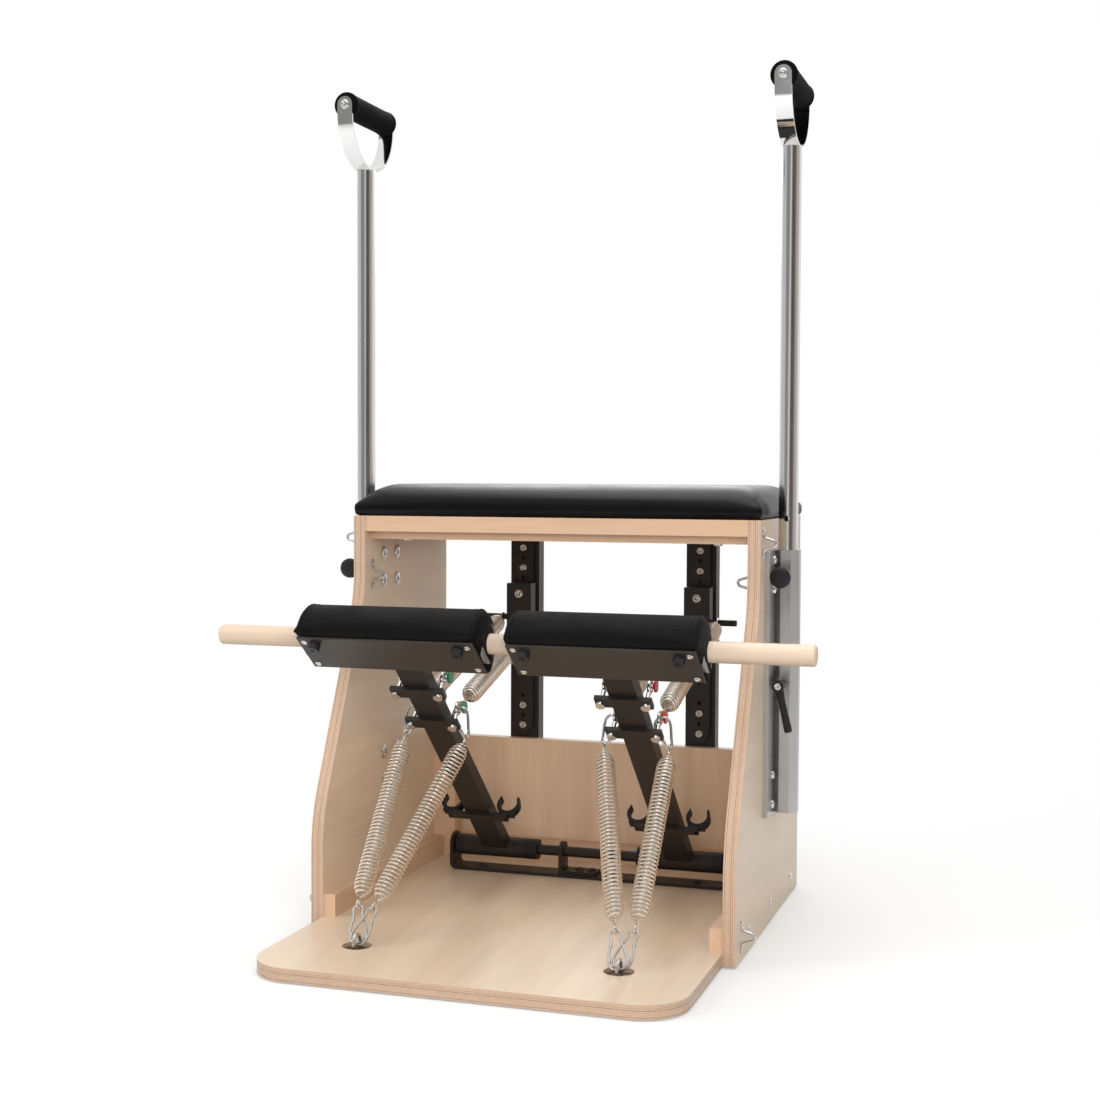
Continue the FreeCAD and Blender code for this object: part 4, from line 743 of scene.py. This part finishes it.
floorHooks = bmesh.new()
for side, word in sides:
    pedalHooks = bmesh.new()
    for step in (-1, 1):
        part = word + ("Outer" if step == side else "Inner")
        eye, anchor, rise = springLine(side, step)
        steep = armTilt - pedalHook["lean"]
        down = Vector((0, -sin(steep), -cos(steep)))
        out = xAxis * step
        splay = pedalHook["splay"]
        fall = out * sin(splay) + down * cos(splay)
        heart = eye + out * pedalHook["aside"] + down * pedalHook["drop"]
        snapHook(pedalHooks, heart, fall, out * cos(splay) - down * sin(splay), pedalHook)
        snapHook(floorHooks, anchor, rise, flattened(xAxis, rise) * -step, floorHook)
        woundSpring("frontSpring" + part.title(), anchor + rise * floorHook["foot"], heart + fall * pedalHook["foot"],
                    frontSpring, "front_springs_" + word)
        pin = Vector((eye.x, rearSpring["pinY"], rearSpring["pinZ"]))
        pull = (pin - eye).normalized()
        before, after = rearSpring["inset"]
        woundSpring("rearSpring" + part.title(), pin - pull * before, eye + pull * after, rearSpring,
                    "rear_springs_" + word)
    sidedPiece("pedalSnapHooks", word, pedalHooks, hookChrome, "pedal", "pedal_snap_hooks")
finishPiece("floorSnapHooks", floorHooks, hookChrome, "frame", ("floor_snap_hooks",))
print("stage: springs and hooks wound")

# seat cushion
seatCushion = {"low": (-0.31, 0.1455, 0.5893), "high": (0.31, 0.49, 0.6085), "corner": 0.005, "voxel": 0.0048,
               "pressure": 1.0, "frames": 18, "cap": 0.0022, "relax": 1, "half": (0.312, 0.1735), "centre": 0.318,
               "shoulder": 0.602, "crown": 0.0262, "slope": (0.058, 0.08), "bend": 2.6, "blend": 0.009,
               "tuckBelow": 0.598, "tuck": 0.004, "floor": 0.5892}


def bevelled(bm, geom, offset, segments):
    ops.bevel(bm, geom=geom, offset=offset, offset_type="OFFSET", segments=segments, profile=0.5, affect="EDGES",
              material=-1)


def roundedBox(low, high, corner, segments=4):
    bm = bmesh.new()
    ops.create_cube(bm, size=1.0)
    low, high = Vector(low), Vector(high)
    ops.scale(bm, verts=bm.verts, vec=high - low)
    ops.translate(bm, verts=bm.verts, vec=(low + high) / 2)
    bevelled(bm, bm.edges[:] + bm.verts[:], corner, segments)
    return bm


def bakeModifiers(piece):
    mesh = evaluated(piece)
    piece.modifiers.clear()
    piece.data = mesh


def swell(piece, settings):
    # remesh, blow up a little with cloth, and keep each point near where it began
    remesh = piece.modifiers.new("remesh", "REMESH")
    remesh.mode = "VOXEL"
    remesh.voxel_size = settings["voxel"]
    bakeModifiers(piece)
    rest = [vert.co.copy() for vert in piece.data.vertices]
    cloth = piece.modifiers.new("cloth", "CLOTH")
    cloth.settings.use_pressure = True
    cloth.settings.uniform_pressure_force = settings["pressure"]
    cloth.settings.effector_weights.gravity = 0
    cloth.settings.quality = 5
    for tick in range(1, settings["frames"] + 1):
        scene.frame_set(tick)
    bakeModifiers(piece)
    scene.frame_set(1)
    for vert, start in zip(piece.data.vertices, rest):
        moved = vert.co - start
        if moved.length > settings["cap"]:
            vert.co = start + moved.normalized() * settings["cap"]


def relax(piece, rounds):
    bm = bmesh.new()
    bm.from_mesh(piece.data)
    for _ in range(rounds):
        ops.smooth_vert(bm, verts=bm.verts, factor=0.5, use_axis_x=True, use_axis_y=True, use_axis_z=True)
    bm.to_mesh(piece.data)
    bm.free()


def softPiece(name, bm, settings, mat, body, node, shape):
    piece = newObject(name, bm)
    swell(piece, settings)
    relax(piece, settings["relax"])
    for vert in piece.data.vertices:
        vert.co = shape(vert.co)
    return dress(piece, mat, body, (node,))


def seatShape(co):
    # upright round the border, and domed from there to the middle
    x, y, z = co
    y -= seatCushion["centre"]
    rise = 1.0
    for away, half, slope in zip((x, y), seatCushion["half"], seatCushion["slope"]):
        rise *= 1 - (1 - clamped((half - abs(away)) / slope)) ** seatCushion["bend"]
    share = eased(clamped((z - seatCushion["shoulder"]) / seatCushion["blend"]))
    low = clamped((seatCushion["tuckBelow"] - z) / seatCushion["blend"])
    tuck = 1 - seatCushion["tuck"] * low * low
    return Vector((x * tuck, seatCushion["centre"] + y * tuck,
                   max(z + share * seatCushion["crown"] * rise, seatCushion["floor"])))


cushion = softPiece("seatCushion", roundedBox(seatCushion["low"], seatCushion["high"], seatCushion["corner"]),
                    seatCushion, seatLeather, "frame", "seat_cushion", seatShape)
print("stage: seat cushion swollen")

# pedal pads
pedalPad = {"half": 0.1305, "radius": 0.0475, "lean": 0.0095, "shoulder": 0.009, "base": 0.0272, "voxel": 0.004,
            "pressure": 1.6, "frames": 14, "cap": 0.0022, "round": 0.009, "relax": 2, "reach": 0.1322}
padSeam = {"inset": 0.008, "radius": 0.0013, "proud": 0.0003, "points": 44, "low": 0.004}
padStitch = {"inset": 0.0145, "radius": 0.00042, "proud": 0.0002, "points": 110}


def padForm(side):
    # a D section, swept across the pedal with its ends rounded over
    bm = bmesh.new()
    radius, half = pedalPad["radius"], pedalPad["half"]
    ops.create_circle(bm, cap_ends=False, segments=64, radius=radius)
    for vert in bm.verts:
        up, lift = vert.co.x, vert.co.y
        if lift < 0:
            share = min(-lift / radius, 1)
            up = radius * copysign(min(abs(up) / radius * 1.9, 1) ** 0.75, up)
            lift = (pedalPad["shoulder"] - pedalPad["base"]) * min(share * 1.9, 1) ** 0.8
        vert.co = onPedal(side * armOffset, up + pedalPad["lean"], lift - pedalPad["shoulder"])
    ops.contextual_create(bm, geom=bm.edges[:])
    ops.translate(bm, verts=bm.verts, vec=(-half, 0, 0))
    grown = ops.extrude_face_region(bm, geom=bm.faces[:])
    moved = [item for item in grown["geom"] if isinstance(item, bmesh.types.BMVert)]
    ops.translate(bm, verts=moved, vec=(2 * half, 0, 0))
    rims = [edge for edge in bm.edges if abs(edge.verts[0].co.x - edge.verts[1].co.x) < 1e-6]
    bevelled(bm, rims, pedalPad["round"], 4)
    ops.recalc_face_normals(bm, faces=bm.faces)
    return bm


def padSection(count):
    # points round the cover from one corner of the plate over the top to the other
    radius, lean, shoulder = pedalPad["radius"], pedalPad["lean"], pedalPad["shoulder"]
    angles = [pi * index / count for index in range(count + 1)]
    points = [(radius * cos(angle) + lean, radius * sin(angle) - shoulder) for angle in angles]
    low = padSeam["low"] - pedalPad["base"]
    first, last = [[(up, low), (up, (low + lift) / 2)] for up, lift in (points[0], points[-1])]
    return first + points + last[::-1]


def padShape(side):
    # the plate behind and the plates at the ends hold the swollen cover back
    def held(co):
        depth = (co - dowelAt).dot(offPedal) + pedalPad["base"]
        aside = co.x - side * armOffset
        reach = min(max(aside, -pedalPad["reach"]), pedalPad["reach"])
        return co + xAxis * (reach - aside) - offPedal * min(depth, 0)

    return held


def coverLine(tree, x, line):
    # where rays from the middle of the section meet the swollen cover
    heart = onPedal(x, pedalPad["lean"], -pedalPad["shoulder"])
    places = []
    for up, lift in padSection(line["points"]):
        place = onPedal(x, up, lift)
        aim = (place - heart).normalized()
        met = tree.ray_cast(heart, aim)[0]
        places.append((place if met is None else met) + aim * line["proud"])
    return places


for side, word in sides:
    pad = softPiece("pedalPad" + word.title(), padForm(side), pedalPad, pedalCover, word + "_pedal",
                    "pedal_pad_" + word, padShape(side))
    cover = BVHTree.FromObject(pad, bpy.context.evaluated_depsgraph_get())
    seams, stitches, threads = bmesh.new(), bmesh.new(), []
    for end in (-1, 1):
        x = side * armOffset + end * (pedalPad["half"] - padSeam["inset"])
        wire(seams, coverLine(cover, x, padSeam), padSeam["radius"], rings=2, steps=2)
        x = side * armOffset + end * (pedalPad["half"] - padStitch["inset"])
        places = coverLine(cover, x, padStitch)
        for index in range(3, len(places) - 5, 2):
            threads.append((places[index], places[index].lerp(places[index + 1], 0.5), places[index + 1]))
    sidedPiece("padSeams", word, seams, hemCover, "pedal")
    wires(stitches, threads, padStitch["radius"], rings=1, steps=2)
    sidedPiece("padStitches", word, stitches, threadBlack, "pedal")
print("stage: pedal pads swollen")

# turned and moulded fittings, as (radius, height) profiles
flatHead = ((0.0045, 0.0), (0.0046, 0.0006), (0.004, 0.0013), (0.0022, 0.0015), (0.002, 0.0007), (0.0, 0.0007))
knobProfile = ((0.004, 0.0), (0.0085, 0.0), (0.0095, 0.0035), (0.0135, 0.006), (0.015, 0.0095), (0.0146, 0.013),
               (0.0115, 0.0155), (0.006, 0.0163), (0.0, 0.0165))
pinProfile = ((0.0, 0.0), (0.0035, 0.0), (0.004, 0.0008), (0.004, 0.022), (0.0062, 0.022), (0.0062, 0.0255))
knobDepth = 0.0166


def indexPins():
    for side, word in sides:
        bm = bmesh.new()
        low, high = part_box("index_pin_" + word)
        x, z = (low[0] + high[0]) / 2, (low[2] + high[2]) / 2
        lathe(bm, pinProfile, (x, high[1], z), (0, -1, 0))
        lathe(bm, knobProfile, (x, low[1] + knobDepth, z), (0, -1, 0), 40)
        sidedPiece("indexPin", word, bm, mouldedBlack, "index_pin", "index_pin")


clampLever = {"z": 0.356, "lean": radians(13), "handleIn": 0.0085, "screwIn": 0.0031}
leverHandle = ((0.0, 0.003), (0.0066, 0.003), (0.006, 0.012), (0.005, 0.022), (0.0052, 0.04), (0.0058, 0.06),
               (0.0056, 0.0648), (0.0044, 0.0662), (0.0, 0.0664))
# the hub's heights count back from the end of its stud
leverHub = ((0.004, 0.02), (0.0074, 0.02), (0.0085, 0.0175), (0.0088, 0.008), (0.0082, 0.0015), (0.0072, 0.0),
            (0.0058, 0.0), (0.0056, 0.003), (0.0, 0.003))
leverScrew = ((0.0, 0.0), (0.0052, 0.0), (0.0053, 0.0022), (0.0046, 0.003), (0.0026, 0.0031), (0.0024, 0.0012),
              (0.0, 0.0012))


def clampLevers():
    lean = clampLever["lean"]
    for side, word in sides:
        bm = bmesh.new()
        low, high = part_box("clamp_lever_" + word)
        x, z = side * poleOffset, clampLever["z"]
        front, back = low[1], high[1]
        hub = [(0.0, 0.0), (0.004, 0.0)] + [(radius, back - front - short) for radius, short in leverHub]
        lathe(bm, hub, (x, back, z), (0, -1, 0), 32)
        down = Vector((side * sin(lean), 0, -cos(lean)))
        lathe(bm, leverHandle, (x, front + clampLever["handleIn"], z), down, 20)
        sidedPiece("clampLever", word, bm, mouldedBlack, "clamp_lever", "clamp_lever")
        screw = bmesh.new()
        lathe(screw, leverScrew, (x, front + clampLever["screwIn"], z), (0, -1, 0))
        sidedPiece("leverScrew", word, screw, zincBolt, "clamp_lever")


handGrip = {"y": 0.241, "z": 1.204, "head": 0.078, "shank": 0.0745}
gripHalf = ((0.0, 0.0735), (0.018, 0.0735), (0.019, 0.0727), (0.0193, 0.0705), (0.0192, 0.0676), (0.019, 0.0662),
            (0.0186, 0.064), (0.0184, 0.06), (0.0183, 0.03))
gripProfile = scaled(gripHalf, 1, -1) + list(reversed(gripHalf))
gripScrew = ((0.0, 0.0), (0.0068, 0.0), (0.007, 0.0014), (0.0056, 0.0034), (0.0034, 0.0039), (0.0034, 0.0018),
             (0.0, 0.0018))
gripShank = ((0.0, -0.006), (0.004, -0.006), (0.004, 0.003), (0.0, 0.003))


def handGrips():
    y, z = handGrip["y"], handGrip["z"]
    for side, word in sides:
        x = side * poleOffset
        bm = bmesh.new()
        lathe(bm, gripProfile, (x, y, z), (0, 1, 0), 48)
        sidedPiece("handGrip", word, bm, gripRubber, "handle", "handle_grip")
        screws = bmesh.new()
        for end in (-1, 1):
            lathe(screws, gripScrew, (x, y + end * handGrip["head"], z), (0, end, 0))
            lathe(screws, gripShank, (x, y + end * handGrip["shank"], z), (0, end, 0), 16)
        sidedPiece("gripScrews", word, screws, zincBolt, "handle")


capScrew = {"aside": 0.1035, "up": 0.0335, "steps": 48, "knurlPast": 0.0079, "knurl": 0.955,
            "socket": (0.0046, 0.004, 0.011, 0.005),
            "profile": ((0.0, -0.012), (0.003, -0.012), (0.003, 0.0003), (0.0074, 0.0003), (0.008, 0.0011),
                        (0.008, 0.0098), (0.0071, 0.011), (0.0046, 0.011))}


def capScrews():
    # socket heads with a fine knurl, each turning in its own bore
    notch = 2 * pi / capScrew["steps"]
    for side, word in sides:
        for end in ("outer", "inner"):
            aside = capScrew["aside"] if (end == "outer") == (side > 0) else -capScrew["aside"]
            bm = bmesh.new()
            lathe(bm, capScrew["profile"], (0, 0, 0), (0, 0, 1), capScrew["steps"])
            for vert in bm.verts:
                if (vert.co.xy.length > capScrew["knurlPast"]
                        and round(atan2(vert.co.y, vert.co.x) / notch) % 2):
                    vert.co.xy *= capScrew["knurl"]
            socket(bm, *capScrew["socket"])
            putAt(bm, onPedal(side * armOffset + aside, capScrew["up"], plateFace), turnedOnto(-offPedal))
            finishPiece("capScrew" + word.title() + end.title(), bm, socketBlack, word + "_" + end + "_thumbscrew",
                        ("thumbscrew_" + word + "_" + end,), False)


def socket(bm, rim, flats, top, depth):
    # a six-sided pocket let into a round head
    hexagon = ops.create_circle(bm, cap_ends=False, segments=6, radius=flats)["verts"]
    ops.translate(bm, verts=hexagon, vec=(0, 0, top))
    inner = list({edge for vert in hexagon for edge in vert.link_edges})
    outer = [edge for edge in bm.edges if edge.is_boundary and edge not in inner
             and all(abs(vert.co.xy.length - rim) < 1e-4 for vert in edge.verts)]
    ops.bridge_loops(bm, edges=outer + inner)
    grown = ops.extrude_edge_only(bm, edges=inner)["geom"]
    sunk = [item for item in grown if isinstance(item, bmesh.types.BMVert)]
    ops.translate(bm, verts=sunk, vec=(0, 0, -depth))
    floor = [item for item in grown if isinstance(item, bmesh.types.BMEdge) and item.is_boundary]
    ops.contextual_create(bm, geom=floor)
    ops.recalc_face_normals(bm, faces=bm.faces)


clipForm = {"inner": 0.0135, "wall": 0.006, "tip": 0.0036, "mouth": radians(50), "flare": 0.0022, "width": 0.0135,
            "reach": 0.114, "spread": 0.0455, "seat": -0.01, "gap": 0.0002, "steps": 36, "edge": 0.0008,
            "sharp": 0.8, "footHalf": 0.0125, "footEdge": 0.001, "thin": pi * 0.62, "flareOver": 0.32}


def storageClip():
    # an open ring, thinner and flared towards its mouth, on a flat foot
    bm = bmesh.new()
    inner, wall, width, mouth = [clipForm[key] for key in ("inner", "wall", "width", "mouth")]
    ops.create_grid(bm, x_segments=1, y_segments=1, size=0.5)
    ops.scale(bm, verts=bm.verts, vec=(wall, width, 1))
    ops.translate(bm, verts=bm.verts, vec=(inner + wall / 2, 0, 0))
    ops.rotate(bm, verts=bm.verts, cent=(0, 0, 0), matrix=Matrix.Rotation(mouth - pi / 2, 3, "Y"))
    turn(bm, 2 * pi - 2 * mouth, clipForm["steps"], (0, 1, 0))
    ops.holes_fill(bm, edges=[edge for edge in bm.edges if edge.is_boundary], sides=4)
    for vert in bm.verts:
        past = abs(atan2(vert.co.x, vert.co.z)) - mouth
        share = eased(clamped(past / clipForm["thin"]))
        flat = hypot(vert.co.x, vert.co.z)
        thick = clipForm["tip"] + (wall - clipForm["tip"]) * share
        lift = clipForm["flare"] * max(1 - past / clipForm["flareOver"], 0) ** 2
        newRadius = inner + (flat - inner) / wall * thick + lift
        vert.co.x *= newRadius / flat
        vert.co.z *= newRadius / flat
    ops.recalc_face_normals(bm, faces=bm.faces)
    bevelled(bm, [edge for edge in bm.edges
                  if len(edge.link_faces) == 2 and edge.calc_face_angle() > clipForm["sharp"]], clipForm["edge"], 2)
    half = clipForm["footHalf"]
    low, high = (-half, -width / 2, -inner - wall), (half, width / 2, -inner - wall * 0.45)
    pour(roundedBox(low, high, clipForm["footEdge"], 2), bm)
    return bm


def storageClips():
    lift = clipForm["seat"] + clipForm["inner"] + clipForm["wall"] + clipForm["gap"]
    facing = Matrix((xAxis, -alongArm, offArm)).transposed().to_4x4()
    for side, word in sides:
        bm = bmesh.new()
        for step in (-1, 1):
            clip = storageClip()
            putAt(clip, onArm(side * armOffset + step * clipForm["spread"], clipForm["reach"], lift), facing)
            pour(clip, bm)
        sidedPiece("storageClips", word, bm, mouldedBlack, "pedal", "storage_clips", False)


strapEye = {"wire": 0.0019, "ends": 0.0165, "stretch": 1.5, "screw": 0.72, "screwLift": 0.0018,
            "tab": ((0.0, 0.0), (0.0043, 0.0), (0.0048, 0.0007), (0.0044, 0.0017), (0.0, 0.0019)),
            "bow": ((0.0013, 0.015), (0.0016, 0.0105), (0.003, 0.008), (0.011, 0.0058), (0.0172, 0.004),
                    (0.019, 0.0)),
            "outer": ((0.164, 0.556), (0.036, 0.035)), "inner": (0.173, 0.5)}


def strapEyes():
    # bent wire loops, each held by two flattened ends and their screws
    bm = bmesh.new()
    bow = list(strapEye["bow"])
    line = bow + scaled(reversed(bow[:-1]), 1, -1)
    for side, word in sides:
        places = [(side * panelOuter, side, y, z) for y, z in strapEye["outer"]]
        places.append((side * panelInner, -side, *strapEye["inner"]))
        for x, out, y, z in places:
            wire(bm, [Vector((x + out * away, y, z + rise)) for away, rise in line], strapEye["wire"])
            for end in (-1, 1):
                tab = bmesh.new()
                lathe(tab, strapEye["tab"], (0, 0, 0), (0, 0, 1), 24)
                ops.scale(tab, verts=tab.verts, vec=(strapEye["stretch"], 1, 1))
                lathe(tab, scaled(flatHead, strapEye["screw"]), (0, 0, strapEye["screwLift"]), (0, 0, 1), 20)
                seat = Matrix((Vector((0, 0, end)), Vector((0, -out * end, 0)), xAxis * out)).transposed()
                putAt(tab, (x, y, z + end * strapEye["ends"]), seat.to_4x4())
                ops.recalc_face_normals(tab, faces=tab.faces)
                pour(tab, bm)
    finishPiece("strapEyes", bm, hookChrome, "frame", ("pad_eyes",))


indexPins()
clampLevers()
handGrips()
capScrews()
storageClips()
strapEyes()
print("stage: knobs, levers, grips and eyes made")

# bolts, nuts and screws
buttonHead = ((0.0065, 0.0), (0.0066, 0.0008), (0.006, 0.0022), (0.0045, 0.0034), (0.0028, 0.0038), (0.0026, 0.0016),
              (0.0, 0.0016))
flangeNut = ((0.0098, 0.0), (0.0103, 0.0006), (0.0101, 0.0016), (0.0085, 0.0024), (0.0046, 0.0026))
guideBolts = {"x": 0.315, "y": (0.2155, 0.2665), "z": (0.531, 0.489, 0.223, 0.181), "steps": 36,
              "socket": (0.0046, 0.0038, 0.0026, 0.0022)}
panelScrews = {"y": (0.09082, 0.24856, 0.41586), "z": 0.03, "wide": 1.4}
railBolts = {"y": 0.47, "z": (0.236, 0.269, 0.531, 0.498)}
carriageBolt = {"y": 0.446, "z": 0.456, "wide": 1.2, "tall": 1.05}
bracketBolt = {"x": 0.1755, "z": 0.025, "supportX": (-0.014, 0.007), "supportZ": 0.03}
cleatBolt = {"x": 0.2396, "y": 0.188, "z": 0.554}
plateScrews = {"aside": 0.1175, "up": (0.0375, -0.0175)}


def fasteners():
    bright, dark = bmesh.new(), bmesh.new()
    for side, word in sides:
        for z in guideBolts["z"]:
            for y in guideBolts["y"]:
                lathe(bright, buttonHead, (side * guideBolts["x"], y, z), (side, 0, 0))
                nut = bmesh.new()
                lathe(nut, flangeNut, (0, 0, 0), (0, 0, 1), guideBolts["steps"])
                socket(nut, *guideBolts["socket"])
                putAt(nut, (side * panelInner, y, z), turnedOnto((-side, 0, 0)))
                pour(nut, bright)
        for y in panelScrews["y"]:
            lathe(bright, scaled(flatHead, panelScrews["wide"]), (side * panelOuter, y, panelScrews["z"]), (side, 0, 0))
        for z in railBolts["z"]:
            lathe(bright, buttonHead, (side * armOffset, railBolts["y"], z), (0, -1, 0))
        lathe(bright, scaled(buttonHead, carriageBolt["wide"], carriageBolt["tall"]),
              (side * armOffset, carriageBolt["y"], carriageBolt["z"]), (0, -1, 0))
        lathe(dark, buttonHead, (side * bracketBolt["x"], pivotAt.y, bracketBolt["z"]), (0, 0, 1))
        lathe(bright, buttonHead, (side * cleatBolt["x"], cleatBolt["y"], cleatBolt["z"]), (0, 0, -1))
    for x in bracketBolt["supportX"]:
        lathe(dark, buttonHead, (x, pivotAt.y, bracketBolt["supportZ"]), (0, 0, 1))
    finishPiece("frameBolts", bright, zincBolt, "frame", ("frame_fasteners",))
    finishPiece("bracketBolts", dark, blackBolt, "frame")
    for side, word in sides:
        screws = bmesh.new()
        for end in (-1, 1):
            for up in plateScrews["up"]:
                seat = onPedal(side * armOffset + end * plateScrews["aside"], up, plateFace)
                lathe(screws, flatHead, seat, -offPedal)
        sidedPiece("plateScrews", word, screws, zincBolt, "pedal", "pedal_screws")


fasteners()
print("stage: fasteners set")
